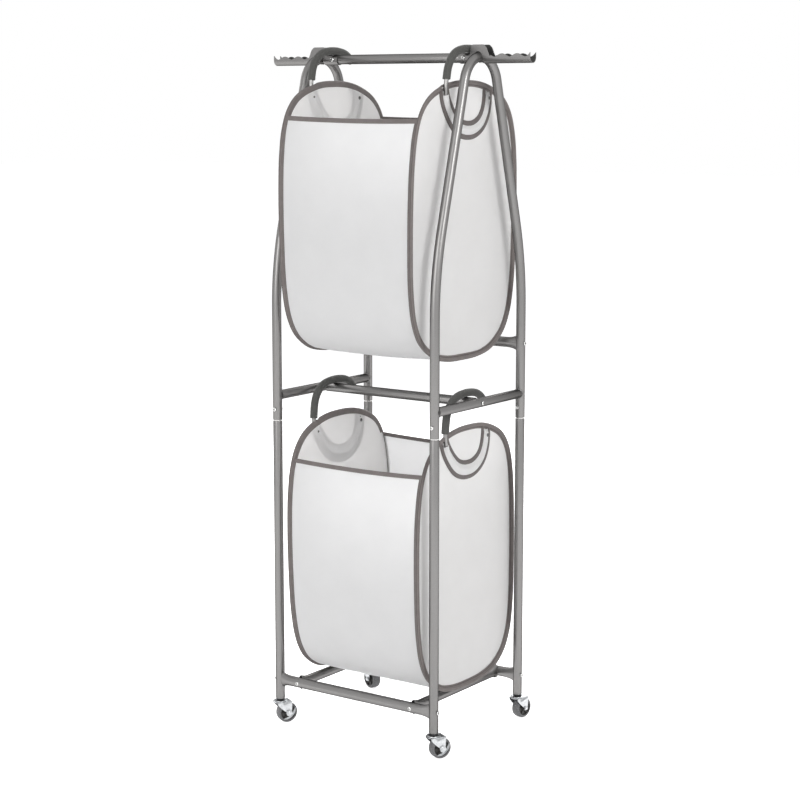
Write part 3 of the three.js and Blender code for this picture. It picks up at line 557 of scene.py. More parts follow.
# Rails: round tube whose ends are pinched flat and flared, so that they cup the leg or the rail they are
# screwed to. Two run across the cart at the foot, one higher at the rear, and two from front to back.
rail_height = 0.110
upper_rail_height = 0.923
bin_rest_x = 0.165
rail_bite = 0.45 * tube_radius
sides = ((-1, "left"), (1, "right"))
# Each step's run from the rail's end, with the tube's height and thickness there as shares of its width.
pinch_steps = [(0.036, 1.00, 1.00), (0.028, 1.02, 0.95), (0.020, 1.09, 0.86), (0.013, 1.24, 0.75),
               (0.007, 1.44, 0.66), (0.003, 1.58, 0.61), (0.000, 1.64, 0.59)]


def start_tube(name, centre, heading, radius, sides=28):
    """A ring of edges across the heading, ready in edit mode to be pushed and bent along."""
    rest_tools()
    turn = Vector((0.0, 0.0, 1.0)).rotation_difference(Vector(heading)).to_euler()
    bpy.ops.mesh.primitive_circle_add(vertices=sides, radius=radius, location=centre, rotation=turn)
    piece = bpy.context.object
    piece.name = name
    bpy.ops.object.transform_apply(location=True, rotation=True, scale=True)
    bpy.ops.object.mode_set(mode="EDIT")
    bpy.ops.mesh.select_all(action="SELECT")
    return piece


def end_tube(piece, wall):
    """Closes the work on a tube: gives it its wall, inward, and a small round on its rims."""
    settled(piece)
    with_modifier(piece, "SOLIDIFY", thickness=wall, offset=-1.0, use_even_offset=True)
    with_modifier(piece, "BEVEL", width=min(0.0003, wall / 4.0), segments=2, limit_method="ANGLE",
                  angle_limit=math.radians(60.0))
    return settled(piece)


def pinched_rail(name, half_length):
    """A rail along X through the origin, both ends pinched flat and flared."""
    piece = start_tube(name, (-half_length, 0.0, 0.0), (1.0, 0.0, 0.0), tube_radius)
    stations = [(-half_length + run, tall, thin) for run, tall, thin in reversed(pinch_steps)]
    stations += [(-x, tall, thin) for x, tall, thin in reversed(stations)]
    before = (-half_length, 1.0, 1.0)
    for i, (x, tall, thin) in enumerate(stations):
        if i > 0:
            push((x - before[0], 0.0, 0.0))
        draw = (1.0, thin / before[2], tall / before[1])
        bpy.ops.transform.resize(value=draw, center_override=(x, 0.0, 0.0))
        before = (x, tall, thin)
    return end_tube(piece, tube_wall)


rail_half = leg_x - rail_bite
for rail_name, y, z, node in (
    ("foot_rail_front", -leg_y, rail_height, "lower_front_rail"),
    ("foot_rail_rear", leg_y, rail_height, "lower_rear_rail"),
    ("back_rail", leg_y, upper_rail_height, "upper_rear_rail"),
):
    rail = pinched_rail(rail_name, rail_half)
    rail.data.transform(Matrix.Translation((0.0, y, z)))
    rail.data.materials.append(silver_coat)
    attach(rail, "frame")
    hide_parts(node)
for side, word in sides:
    rest = pinched_rail(f"cross_rail_{word}", leg_y - rail_bite)
    squeeze = Matrix.Diagonal((1.0, 1.0, 0.9, 1.0))
    quarter_turn = Matrix.Rotation(math.pi / 2.0, 4, "Z")
    rest.data.transform(Matrix.Translation((side * bin_rest_x, 0.0, rail_height)) @ quarter_turn @ squeeze)
    rest.data.materials.append(silver_coat)
    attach(rest, "frame")
    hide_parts(f"bin_rest_{word}")


# End arches: one long tube each, bent inward above the side bar and over a narrow loop at the top. The
# side bar between the arch's legs is welded in with a small bead all round.
arch_bend = 0.760
arch_lean = math.radians(15.0)
loop_radius = 0.068
loop_centre = 1.520
side_bar_height = 0.803
side_bar_bite = 0.008
bead_radius = 0.0013
bead_ripple = 0.00025


def bend(centre, axis, angle, steps):
    """Draws the selected ring round a former, as a tube bender does. The spin tool counts the other way."""
    bpy.ops.mesh.spin(steps=steps, angle=-angle, center=centre, axis=axis)


def weld_bead(name, x, end, height):
    """A thin bead on the leg's round face, where a tube along Y meets it."""
    rest_tools()
    bpy.ops.mesh.primitive_torus_add(major_segments=40, minor_segments=8, major_radius=tube_radius + 0.0004,
                                     minor_radius=bead_radius, rotation=(math.pi / 2.0, 0.0, 0.0))
    bead = bpy.context.object
    bead.name = name
    bpy.ops.object.transform_apply(location=False, rotation=True, scale=False)
    for vertex in bead.data.vertices:
        run = math.sqrt(max(0.0, (tube_radius + 0.0006) ** 2 - vertex.co.x ** 2))
        rough = bead_ripple * math.sin(14.0 * math.atan2(vertex.co.z, vertex.co.x))
        vertex.co.y += end * (leg_y - run) + rough
    bead.data.transform(Matrix.Translation((x, 0.0, height)))
    settled(bead, 60.0)
    bead.data.materials.append(silver_coat)
    return bead


tangent_y = loop_radius * math.cos(arch_lean)
tangent_z = loop_centre + loop_radius * math.sin(arch_lean)
corner_z = tangent_z - (leg_y - tangent_y) / math.tan(arch_lean)
bend_start = corner_z - arch_bend * math.tan(arch_lean / 2.0)
bend_end_y = leg_y - arch_bend * (1.0 - math.cos(arch_lean))
bend_end_z = bend_start + arch_bend * math.sin(arch_lean)
for side, word in sides:
    x = side * leg_x
    arch = start_tube(f"end_arch_{word}", (x, leg_y, leg_joint + joint_gap), (0.0, 0.0, 1.0), tube_radius, 32)
    push((0.0, 0.0, bend_start - leg_joint - joint_gap))
    bend((x, leg_y - arch_bend, bend_start), (1.0, 0.0, 0.0), arch_lean, 10)
    push((0.0, tangent_y - bend_end_y, tangent_z - bend_end_z))
    bend((x, 0.0, loop_centre), (1.0, 0.0, 0.0), math.pi - 2.0 * arch_lean, 30)
    push((0.0, tangent_y - bend_end_y, bend_end_z - tangent_z))
    bend((x, arch_bend - leg_y, bend_start), (1.0, 0.0, 0.0), arch_lean, 10)
    push((0.0, 0.0, leg_joint + joint_gap - bend_start))
    end_tube(arch, tube_wall)
    arch.data.materials.append(silver_coat)
    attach(arch, "frame")
    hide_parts(f"arch_{word}")
    bar_end = (x, side_bar_bite - leg_y, side_bar_height)
    bar = start_tube(f"end_bar_{word}", bar_end, (0.0, 1.0, 0.0), tube_radius)
    push((0.0, 2.0 * (leg_y - side_bar_bite), 0.0))
    end_tube(bar, tube_wall)
    bar.data.materials.append(silver_coat)
    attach(bar, "frame")
    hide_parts(f"side_bar_{word}")
    for end in (-1, 1):
        bead = weld_bead(f"weld_{word}_{'front' if end < 0 else 'rear'}", x, end, side_bar_height)
        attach(bead, "frame")


# Cross bars: the centre bar carries the lower bin and is screwed between the side bars, and the top bar
# carries the upper bin and runs into the hanger arms.
top_bar_height = 1.586
for bar_name, height, node in (
    ("middle_cross_bar", side_bar_height, "centre_bar"),
    ("top_cross_bar", top_bar_height, "top_bar"),
):
    half = leg_x - tube_radius * 0.95
    bar = start_tube(bar_name, (-half, 0.0, height), (1.0, 0.0, 0.0), tube_radius)
    push((2.0 * half, 0.0, 0.0))
    end_tube(bar, tube_wall)
    bar.data.materials.append(silver_coat)
    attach(bar, "frame")
    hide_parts(node)


# Screws: plated pan heads with a cross recess, on shanks that run into the tubes. The joint bolts have a
# nut on the inner side of the leg.
plated = speckled_finish("plated_screw", (0.62, 0.62, 0.61), 1.0, 0.28, 800.0, (0.2, 0.36), 0.05, 0.0001,
                         ((0.52, 0.52, 0.51), (0.72, 0.72, 0.71)), black_edges=True)
# Painted shade: a near-black metal for the inside of the cross recess and the head's outer rim, where shade
# falls.
painted_screw_shade = speckled_finish("screw_painted_shade", (0.08, 0.08, 0.08), 0.8, 0.5, 900.0, (0.4, 0.6), 0.1, 0.0001,
                              ((0.06, 0.06, 0.06), (0.12, 0.12, 0.12)))
recess_radius = 0.0030
recess_lip = 0.0027
shaded_rim = 0.0043
seat_depth = 0.0003
bolt_rise = 0.027

head_profile = [(0.0, 0.0031), (0.0022, 0.0030), (0.0038, 0.0025), (0.0048, 0.0015), (0.0051, 0.0004),
                (0.0049, 0.0), (0.0025, 0.0), (0.0025, -0.0040), (0.0, -0.0040)]
screw_master = turned_piece("screw_master", head_profile, 28)
screw_master.data.materials.append(plated)
screw_master.data.materials.append(painted_screw_shade)
for turn in (0.0, 90.0):
    rest_tools()
    bpy.ops.mesh.primitive_cube_add(size=1.0, location=(0.0, 0.0, 0.0))
    slot_tool = bpy.context.object
    slot_tool.data.transform(Matrix.Rotation(math.radians(turn), 4, "Z") @
                             Matrix.Translation((0.0, 0.0, 0.0034)) @
                             Matrix.Diagonal((0.0056, 0.0012, 0.0032, 1.0)))
    slot_tool.data.materials.append(painted_screw_shade)
    with_modifier(screw_master, "BOOLEAN", operation="DIFFERENCE", object=slot_tool, solver="EXACT")
    bpy.data.objects.remove(slot_tool)
settled(screw_master, 35.0)
# Faces inside the cross recess and outside the shaded rim radius take the painted shade.
for face in screw_master.data.polygons:
    out, height = math.hypot(face.center.x, face.center.y), face.center.z
    in_recess = out < recess_radius and 0.0 < height < recess_lip
    face.material_index = 1 if in_recess or out > shaded_rim else 0
nut_profile = [(0.0026, 0.0), (0.0040, 0.0), (0.0046, 0.0004), (0.0046, 0.0032), (0.0040, 0.0036),
               (0.0026, 0.0036), (0.0026, 0.0)]
nut_master = turned_piece("nut_master", nut_profile, 6)
nut_master.data.materials.append(plated)
shank_profile = [(0.0, 0.0), (0.0022, 0.0), (0.0024, 0.0004), (0.0024, 0.0052), (0.0018, 0.0060),
                 (0.0, 0.0060)]
shank_master = turned_piece("shank_master", shank_profile, 16)
shank_master.data.materials.append(plated)


def facing(place, outward):
    """A place whose Z axis points outward."""
    turn = Vector((0.0, 0.0, 1.0)).rotation_difference(Vector(outward))
    return Matrix.Translation(place) @ turn.to_matrix().to_4x4()


def drive_screw(name, place, outward, node=None):
    """A screw with its head on the given spot, in place of its node if it has one."""
    fastener = copied(screw_master, name, facing(place, outward))
    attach(fastener, "frame")
    if node:
        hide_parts(node)


for side, word in sides:
    outer = side * (leg_x + tube_radius - seat_depth)
    out = (float(side), 0.0, 0.0)
    drive_screw(f"middle_bar_screw_{word}", (outer, 0.0, side_bar_height), out, f"centre_bar_screw_{word}")
    drive_screw(f"back_rail_screw_{word}", (outer, leg_y, upper_rail_height), out, f"upper_rail_screw_{word}")
    for end, end_word in ((-1, "front"), (1, "rear")):
        corner = f"{end_word}_{word}"
        ahead = (0.0, float(end), 0.0)
        face_y = end * (leg_y + tube_radius - seat_depth)
        back_y = end * (leg_y - tube_radius + seat_depth)
        drive_screw(f"foot_rail_screw_{corner}", (outer, end * leg_y, rail_height), out,
                    f"lower_rail_screw_{corner}")
        drive_screw(f"cross_rail_screw_{corner}", (side * bin_rest_x, face_y, rail_height), ahead)
        drive_screw(f"arch_bolt_{corner}", (side * leg_x, face_y, leg_joint + bolt_rise), ahead,
                    f"joint_bolt_{corner}")
        inner_face = facing((side * leg_x, back_y, leg_joint + bolt_rise), (0.0, -float(end), 0.0))
        for master, part_word in ((nut_master, "nut"), (shank_master, "bolt_end")):
            part = copied(master, f"arch_{part_word}_{corner}", inner_face)
            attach(part, "frame")
bpy.data.objects.remove(nut_master)
bpy.data.objects.remove(shank_master)


# Hanger arms: pressed steel channels that wrap the ends of the top bar. Each rises in a hump over its
# arch, and the outer walls are notched to keep clothes hangers apart.
arm_wall = 0.0016
arm_inside = tube_radius + 0.0003
arm_inner_end = 0.172
arm_tip = 0.362
arm_length = arm_tip - arm_inner_end
hump_rise = 0.029
seat_rise = 0.005
seat_end = 0.2010
hump_start = 0.2125
hump_end = 0.2370
hump_foot = 0.2580
foot_rise = 0.0025
notch_floor = 0.0015
notch_rise = 0.0072
notch_pitch = 0.040
notch_low = 0.268
notch_end = 0.3480
notch_step = 0.0025


def arm_edge_points():
    """The walls' top edge from the inner end to the tip, as x and height over the bar's axis."""
    edge = [(arm_inner_end - 0.002, seat_rise), (seat_end, seat_rise)]
    edge += arc_points((seat_end, seat_rise + 0.0020), 0.0020, -90.0, -20.0, 3)
    edge += arc_points((hump_start, hump_rise - 0.0070), 0.0070, 160.0, 90.0, 6)
    edge += arc_points((hump_end, hump_rise - 0.0080), 0.0080, 90.0, 30.0, 6)
    last_x, last_rise = edge[-1]
    for i in range(1, 9):
        share = i / 9.0
        swing = (1.0 - math.cos(math.pi * share)) / 2.0
        edge.append((last_x + (hump_foot - last_x) * share, last_rise + (foot_rise - last_rise) * swing))
    x = hump_foot
    while x < notch_end:
        crest = (1.0 - math.cos(2.0 * math.pi * (x - notch_low) / notch_pitch)) / 2.0
        edge.append((x, notch_floor + notch_rise * crest ** 0.75))
        x += notch_step
    edge += [(notch_end, notch_floor), (0.3515, 0.0021), (0.3550, 0.0040), (0.3590, 0.0078),
             (0.3612, 0.0106), (arm_tip + 0.002, 0.0112)]
    return edge


def cutter(name, points, half_depth):
    """A solid cut to an outline of x and z, as deep each way along Y as asked."""
    tool = flat_outline(name, points, -half_depth)
    with_modifier(tool, "SOLIDIFY", thickness=2.0 * half_depth, offset=1.0)
    settled(tool)
    low = min(vertex.co.y for vertex in tool.data.vertices)
    tool.data.transform(Matrix.Translation((0.0, -half_depth - low, 0.0)))
    return tool


def select_where(piece, test):
    """Selects the points of a mesh in edit mode whose place passes the test."""
    bpy.ops.mesh.select_all(action="DESELECT")
    net = bmesh.from_edit_mesh(piece.data)
    for point in net.verts:
        point.select_set(test(point.co))
    net.select_flush_mode()
    bmesh.update_edit_mesh(piece.data)


wall_middle = arm_inside + arm_wall / 2.0
arm = start_tube("arm", (arm_inner_end, 0.0, top_bar_height), (1.0, 0.0, 0.0), wall_middle, 56)
bpy.ops.mesh.select_mode(type="VERT")
select_where(arm, lambda place: place.z > top_bar_height + 0.0001)
bpy.ops.mesh.delete(type="VERT")
select_where(arm, lambda place: abs(place.z - top_bar_height) < 0.0001)
push((0.0, 0.0, hump_rise + 0.004))
bpy.ops.mesh.select_all(action="SELECT")
push((arm_length, 0.0, 0.0))
bpy.ops.object.mode_set(mode="OBJECT")
with_modifier(arm, "SOLIDIFY", thickness=arm_wall, offset=0.0, use_even_offset=True)
settled(arm)
edge_points = [(x, top_bar_height + z) for x, z in arm_edge_points()]
ceiling = top_bar_height + hump_rise + 0.010
lid = cutter("lid", edge_points + [(edge_points[-1][0], ceiling), (edge_points[0][0], ceiling)], 0.02)
arch_top = loop_centre + loop_radius
saddle_points = arc_points((leg_x, arch_top - 0.0008), 0.0125, 180.0, 0.0, 24)
saddle_points += [(leg_x + 0.0140, arch_top - 0.028), (leg_x - 0.0140, arch_top - 0.028)]
saddle = cutter("saddle", saddle_points, 0.02)
for tool in (lid, saddle):
    with_modifier(arm, "BOOLEAN", operation="DIFFERENCE", object=tool, solver="EXACT")
    bpy.data.objects.remove(tool)
settled(arm)
with_modifier(arm, "BEVEL", width=0.00035, segments=2, limit_method="ANGLE", angle_limit=math.radians(50.0))
settled(arm, 40.0)
arm.data.materials.append(silver_coat)
# Painted shade: a near-black steel for the channel's inside faces, which stand in for the shade inside it.
painted_arm_shade = speckled_finish("arm_inside_painted_shade", (0.07, 0.07, 0.068), 0.7, 0.6, 900.0, (0.5, 0.7), 0.1,
                               0.0001, ((0.055, 0.055, 0.053), (0.085, 0.085, 0.083)))
arm.data.materials.append(painted_arm_shade)
# Faces that look into the channel take the painted shade.
for face in arm.data.polygons:
    inward = Vector((0.0, -face.center.y, top_bar_height - face.center.z))
    if abs(face.center.y) < wall_middle and abs(face.normal.x) < 0.3 and face.normal.dot(inward) > 0.002:
        face.material_index = 1
arm_screw_x = 0.185
for side, word in sides:
    hanger = copied(arm, f"hanger_channel_{word}", Matrix.Diagonal((float(side), 1.0, 1.0, 1.0)))
    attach(hanger, "frame")
    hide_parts(f"hanger_arm_{word}")
    outer_face = (side * arm_screw_x, -arm_inside - arm_wall + seat_depth, top_bar_height)
    drive_screw(f"arm_seat_screw_{word}", outer_face, (0.0, -1.0, 0.0), f"arm_screw_{word}")
    crown_face = (side * leg_x, 0.0, arch_top - tube_radius + seat_depth)
    drive_screw(f"arch_crown_screw_{word}", crown_face, (0.0, 0.0, -1.0))
bpy.data.objects.remove(arm)
bpy.data.objects.remove(screw_master)


# Hook rods: plated steel rod bent into a rounded ring that is open at the rear. It goes over the bar, down
# in front of the rim and back inside the sleeve on the end panel.
panel_face = 0.1845
hook_offset = 0.0063
rod_radius = 0.005
foam_radius = 0.0092
bar_clearance = 0.0003
ring_half_height = 0.094
ring_rise = tube_radius + bar_clearance + foam_radius - ring_half_height
sleeve_drop = 0.084
sleeve_press = 0.0037
front_press = (0.078, 0.042)
rear_press = (0.030, 0.030)
ring_draw = 0.035
ring_back = 0.020
draw_depth = 0.85 * ring_half_height
draw_start = 0.05
draw_run = 0.09
# The ring's bends as radius and angle: half of the crown's, a whole shoulder's and half of a flank's.
crown_arc = (0.17315, 11.28)
shoulder_arc = (0.06329, 65.39)
flank_arc = (0.18726, 13.33)
tip_angle = 51.47
# Each bin's cut. Its hems are measured down from the bar, and the other values say how its cloth lies.
bin_cuts = {
    "upper": {"bar": top_bar_height, "foot": 0.899, "crown": 1.537, "half_depth": 0.217,
              "front_hem": 0.134, "rear_hem": 0.134, "hem_depth": 0.0106, "hem_pull": 0.0035,
              "hem_tilt": 0.0050, "foam_drop": 0.048,
              "lean": 0.0, "taper": 0.009, "drift": 0.0, "sag": 0.0055, "seed": 3.0,
              "band_belly": 0.0022, "tape_half": 0.0056},
    "lower": {"bar": side_bar_height, "foot": 0.123, "crown": 0.748, "half_depth": 0.205,
              "front_hem": 0.144, "rear_hem": 0.131, "hem_depth": 0.0096, "hem_pull": 0.0045,
              "hem_tilt": 0.0, "foam_drop": 0.064,
              "lean": 0.014, "taper": 0.007, "drift": 0.015, "sag": 0.0015, "seed": 17.0,
              "band_belly": 0.0044, "tape_half": 0.0050},
}

rod_steel = speckled_finish("hook_rod_steel", (0.29, 0.285, 0.28), 0.9, 0.3, 700.0, (0.24, 0.4), 0.06, 0.0001,
                            ((0.25, 0.245, 0.24), (0.33, 0.325, 0.32)), black_edges=True)


def hang(piece, cut):
    """Draws the piece in and lets it drift to the right below the bar, as the loose fabric does."""
    for point in piece.data.vertices:
        fall = max(0.0, (cut["bar"] - point.co.z) / (cut["bar"] - cut["foot"]))
        point.co.x += fall * (cut["drift"] - cut["taper"] * point.co.x / panel_face)
    piece.data.update()
    return piece


def ring_middle(cut):
    """The height of the hook ring's middle."""
    return cut["bar"] + ring_rise


def eased(share):
    """Nothing up to 0, one from 1 on, and a soft rise between."""
    share = max(0.0, min(1.0, share))
    return share * share * (3.0 - 2.0 * share)


def press_share(cut, y, z):
    """How far the tight cloth presses the rod in: not at all over the rim, and fully inside the sleeve."""
    start, run = front_press if y < 0.0 else rear_press
    return eased((cut["bar"] - start - z) / run)


def drawn_in(cut, y, z):
    """Where a point of the ring goes as the tight sleeve draws its lower front bend up and to the rear."""
    low = eased((ring_middle(cut) - z) / draw_depth)
    ahead = eased((draw_start - y) / draw_run)
    return y + ring_back * low * ahead, z + ring_draw * max(0.0, cut["bar"] - z)


def pressed(piece, cut):
    """Bends a straight-hung rod to the way that it lies inside its sleeve."""
    for point in piece.data.vertices:
        point.co.y, point.co.z = drawn_in(cut, point.co.y, point.co.z)
        point.co.x -= sleeve_press * press_share(cut, point.co.y, point.co.z)
    piece.data.update()


def last_flank(fall):
    """The part of a flank's bend that ends at a height under the ring's middle."""
    return flank_arc[0], flank_arc[1] - math.degrees(math.asin(fall / flank_arc[0]))


def ring_arcs(cut, last):
    """The ring's bends in order from the tip behind the bar, ending part way through the last one."""
    crown = (crown_arc[0], 2.0 * crown_arc[1])
    flank = (flank_arc[0], 2.0 * flank_arc[1])
    arcs = [(shoulder_arc[0], tip_angle - crown_arc[1]), crown, shoulder_arc]
    if last == "foam":
        return arcs + [last_flank(-ring_rise - cut["foam_drop"])]
    return arcs + [flank, shoulder_arc, crown, shoulder_arc, last_flank(sleeve_drop + ring_rise)]


def drawn_ring(name, cut, radius, last, sides_round, step_angle):
    """A ring of edges bent along the arcs in the plane of the hook, right-hand side."""
    x = panel_face + hook_offset
    tip = math.radians(tip_angle)
    crown_run = crown_arc[0] * math.sin(math.radians(crown_arc[1]))
    crown_fall = crown_arc[0] * (1.0 - math.cos(math.radians(crown_arc[1])))
    y = crown_run + shoulder_arc[0] * (math.sin(tip) - math.sin(math.radians(crown_arc[1])))
    z = ring_middle(cut) + ring_half_height - crown_fall - shoulder_arc[0] * (
        math.cos(math.radians(crown_arc[1])) - math.cos(tip))
    heading = math.pi - tip
    piece = start_tube(name, (x, y, z), (0.0, math.cos(heading), math.sin(heading)), radius, sides_round)
    for arc_radius, angle in ring_arcs(cut, last):
        turn = math.radians(angle)
        middle_y = y - arc_radius * math.sin(heading)
        middle_z = z + arc_radius * math.cos(heading)
        bend((x, middle_y, middle_z), (1.0, 0.0, 0.0), turn, max(2, round(angle / step_angle)))
        heading += turn
        y = middle_y + arc_radius * math.sin(heading)
        z = middle_z - arc_radius * math.cos(heading)
    return piece


flip_side = Matrix.Diagonal((-1.0, 1.0, 1.0, 1.0))
for bin_name, cut in bin_cuts.items():
    rod = drawn_ring("rod", cut, rod_radius, "sleeve", 20, 5.0)
    settled(rod)
    bpy.ops.object.mode_set(mode="EDIT")
    bpy.ops.mesh.select_all(action="DESELECT")
    bpy.ops.mesh.select_non_manifold()
    bpy.ops.mesh.fill_holes(sides=0)
    bpy.ops.object.mode_set(mode="OBJECT")
    with_modifier(rod, "BEVEL", width=0.0012, segments=3, limit_method="ANGLE",
                  angle_limit=math.radians(60.0))
    settled(rod)
    pressed(rod, cut)
    rod.data.materials.append(rod_steel)
    for side, word in sides:
        hook = copied(rod, f"{bin_name}_hook_rod_{word}", Matrix() if side > 0 else flip_side)
        hang(hook, cut)
        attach(hook, f"{bin_name}_bin")
        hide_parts(f"{bin_name}_bin_hook_{word}")
    bpy.data.objects.remove(rod)


# Foam grips: dark closed-cell foam tube pushed over the rod, from its tip to below the bar. The foam has a
# matt skin with fine pores and is a little uneven from handling.
foam_clearance = 0.0003
foam_swell = 0.00035
dark_foam = speckled_finish("dark_grip_foam", (0.085, 0.085, 0.080), 0.0, 0.9, 1500.0, (0.82, 0.98), 0.7,
                            0.0004, ((0.066, 0.066, 0.062), (0.108, 0.108, 0.102)), detail=6.0)
dark_foam.node_tree.nodes["Principled BSDF"].inputs["Sheen Weight"].default_value = 0.15

for bin_name, cut in bin_cuts.items():
    foam = drawn_ring("foam", cut, foam_radius, "foam", 28, 3.0)
    settled(foam)
    with_modifier(foam, "SOLIDIFY", thickness=foam_radius - rod_radius - foam_clearance, offset=-1.0,
                  use_even_offset=True)
    with_modifier(foam, "BEVEL", width=0.0011, segments=3, limit_method="ANGLE",
                  angle_limit=math.radians(60.0))
    with_modifier(foam, "SUBSURF", levels=1, render_levels=1)
    middle = Vector((panel_face + hook_offset, 0.0, ring_middle(cut)))
    for point in foam.data.vertices:
        swell = noise.noise(Vector((point.co.x * 90.0, point.co.y * 42.0 + cut["seed"], point.co.z * 42.0)))
        outward = Vector((point.co.x - middle.x, 0.0, 0.0))
        arm_out = Vector((0.0, point.co.y, point.co.z - middle.z))
        point.co += foam_swell * swell * (outward.normalized() + arm_out.normalized())
    settled(foam, 60.0)
    foam.data.materials.append(dark_foam)
    for side, word in sides:
        grip = copied(foam, f"{bin_name}_foam_grip_{word}", Matrix() if side > 0 else flip_side)
        hang(grip, cut)
        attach(grip, f"{bin_name}_bin")
        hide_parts(f"{bin_name}_bin_grip_{word}")
    bpy.data.objects.remove(foam)


# End panels: one layer of closely woven white polyester, cut to a tall rounded tongue. The hook rod in its
# sleeve presses a faint ridge through to the inner face.
rim_width = 0.0126
panel_inset = 0.0055
cloth_thickness = 0.0009
thread_pitch = 0.0007
thread_depth = 0.00008
drape_depth = 0.0016
drape_run = 0.020
ridge_width = 0.0072
ridge_end = 0.024
ridge_least = 0.0010
ridge_most = 0.0046
rim_shadow = 0.009
rim_shadow_run = 0.010
sleeve_zone = (0.14, 0.22)
# The edge's corners as shares of the bin's half depth and of its height, from the foot up.
outline_shares = (
    (0.3, 0.004), (0.55, 0.024), (0.78, 0.078), (0.905, 0.15), (0.975, 0.26), (1.0, 0.42), (1.0, 0.6),
    (0.98, 0.72), (0.93, 0.82), (0.84, 0.892), (0.7, 0.942), (0.5, 0.975), (0.26, 0.995),
)
outline_count = 300
panel_columns = 140
panel_stand = 0.0010
ring_half_depth = 0.088
ring_start = 162.0
ring_end = 378.0
ring_fullness = 2.0 / 2.6


def bands(nodes, links, direction, pitch, distortion, detail):
    """Parallel bands on the cloth map, one for each thread or rib."""
    place = nodes.new("ShaderNodeTexCoord")
    wave = nodes.new("ShaderNodeTexWave")
    wave.wave_type = "BANDS"
    wave.bands_direction = direction
    wave.inputs["Scale"].default_value = 2.0 * math.pi / (20.0 * pitch)
    wave.inputs["Distortion"].default_value = distortion
    wave.inputs["Detail"].default_value = detail
    links.new(place.outputs["UV"], wave.inputs["Vector"])
    return wave.outputs["Fac"]


def woven_cloth(name, light, dark, through):
    """A plain weave on the map of the cloth, with soft clouding, lifted threads and a light nap."""
    finish, nodes, links, skin = plain_finish(name, light, 0.0, 0.86)
    skin.inputs["Sheen Weight"].default_value = 0.08
    skin.inputs["Specular IOR Level"].default_value = 0.3
    skin.inputs["Subsurface Weight"].default_value = 1.0
    skin.inputs["Subsurface Radius"].default_value = (1.0, 1.0, 1.0)
    skin.inputs["Subsurface Scale"].default_value = through
    warp, weft = [bands(nodes, links, direction, thread_pitch, 0.6, 1.0) for direction in ("X", "Y")]
    crossing = reckoned(nodes, links, "MULTIPLY", warp, weft)
    clouds = grain_of(nodes, links, 14.0, 5.0)
    ruck = raised(nodes, links, clouds, 0.25, 0.0012)
    links.new(raised(nodes, links, crossing, 0.5, thread_depth, ruck), skin.inputs["Normal"])
    links.new(two_tints(nodes, links, clouds, dark, light, 0.3), skin.inputs["Base Color"])
    return finish


panel_cloth = woven_cloth("white_panel_cloth", (0.89, 0.875, 0.865), (0.865, 0.85, 0.84), 0.0020)


def even_ring(corners, count):
    """Evenly spaced stations on a smooth closed curve through the corners."""
    dense = []
    total = len(corners)
    for i in range(total):
        around = [corners[(i + k - 1) % total] for k in range(4)]
        knots = [0.0]
        for here, after in zip(around, around[1:]):
            knots.append(knots[-1] + (after - here).length ** 0.5)
        for k in range(16):
            t = knots[1] + (knots[2] - knots[1]) * k / 16.0
            layer = around
            for span in (1, 2):
                layer = [layer[j].lerp(layer[j + 1], (t - knots[j]) / (knots[j + span] - knots[j]))
                         for j in range(len(layer) - 1)]
            dense.append(layer[0].lerp(layer[1], (t - knots[1]) / (knots[2] - knots[1])))
    lengths = [0.0]
    for here, after in zip(dense, dense[1:] + dense[:1]):
        lengths.append(lengths[-1] + (after - here).length)
    ring, k = [], 0
    for i in range(count):
        goal = lengths[-1] * i / count
        while lengths[k + 1] < goal:
            k += 1
        share = (goal - lengths[k]) / (lengths[k + 1] - lengths[k])
        ring.append(dense[k].lerp(dense[(k + 1) % len(dense)], share))
    return ring


def panel_outline(cut, inset, count=outline_count):
    """The end panel's edge as y and z, from the foot round by the rear, drawn in by an inset."""
    height = cut["crown"] - cut["foot"]
    rear = [(out * cut["half_depth"], cut["foot"] + up * height, up) for out, up in outline_shares]
    front = [(-y, z, up) for y, z, up in reversed(rear)]
    shaped = [(0.0, cut["foot"], 0.0)] + rear + [(0.0, cut["crown"], 1.0)] + front
    ring = even_ring([Vector((y + cut["lean"] * up ** 4, z)) for y, z, up in shaped], count)
    inner_ring = []
    for i, station in enumerate(ring):
        travel = (ring[(i + 1) % count] - ring[i - 1]).normalized()
        inner_ring.append(station + inset * Vector((-travel.y, travel.x)))
    return inner_ring


def woven_sheet(name, rows, uv_rows):
    """Rows of points joined into a sheet, with a UV map in metres of cloth."""
    width = len(rows[0])
    points = [tuple(point) for row in rows for point in row]
    faces = []
    for r in range(len(rows) - 1):
        for c in range(width - 1):
            corner = r * width + c
            faces.append((corner, corner + 1, corner + 1 + width, corner + width))
    mesh = bpy.data.meshes.new(name)
    mesh.from_pydata(points, [], faces)
    flat = [tuple(place) for row in uv_rows for place in row]
    cloth_map = mesh.uv_layers.new(name="cloth")
    for loop in mesh.loops:
        cloth_map.data[loop.index].uv = flat[loop.vertex_index]
    piece = bpy.data.objects.new(name, mesh)
    bpy.context.scene.collection.objects.link(piece)
    return piece


def surface_area(piece):
    """The area of a sheet, before it has a thickness."""
    return sum(face.area for face in piece.data.polygons)


def thick_cloth(sheet, cloth):
    """Gives a sheet its thickness and its cloth, soft all over."""
    with_modifier(sheet, "SOLIDIFY", thickness=cloth_thickness, offset=0.0)
    for face in sheet.data.polygons:
        face.use_smooth = True
    sheet.data.materials.append(cloth)


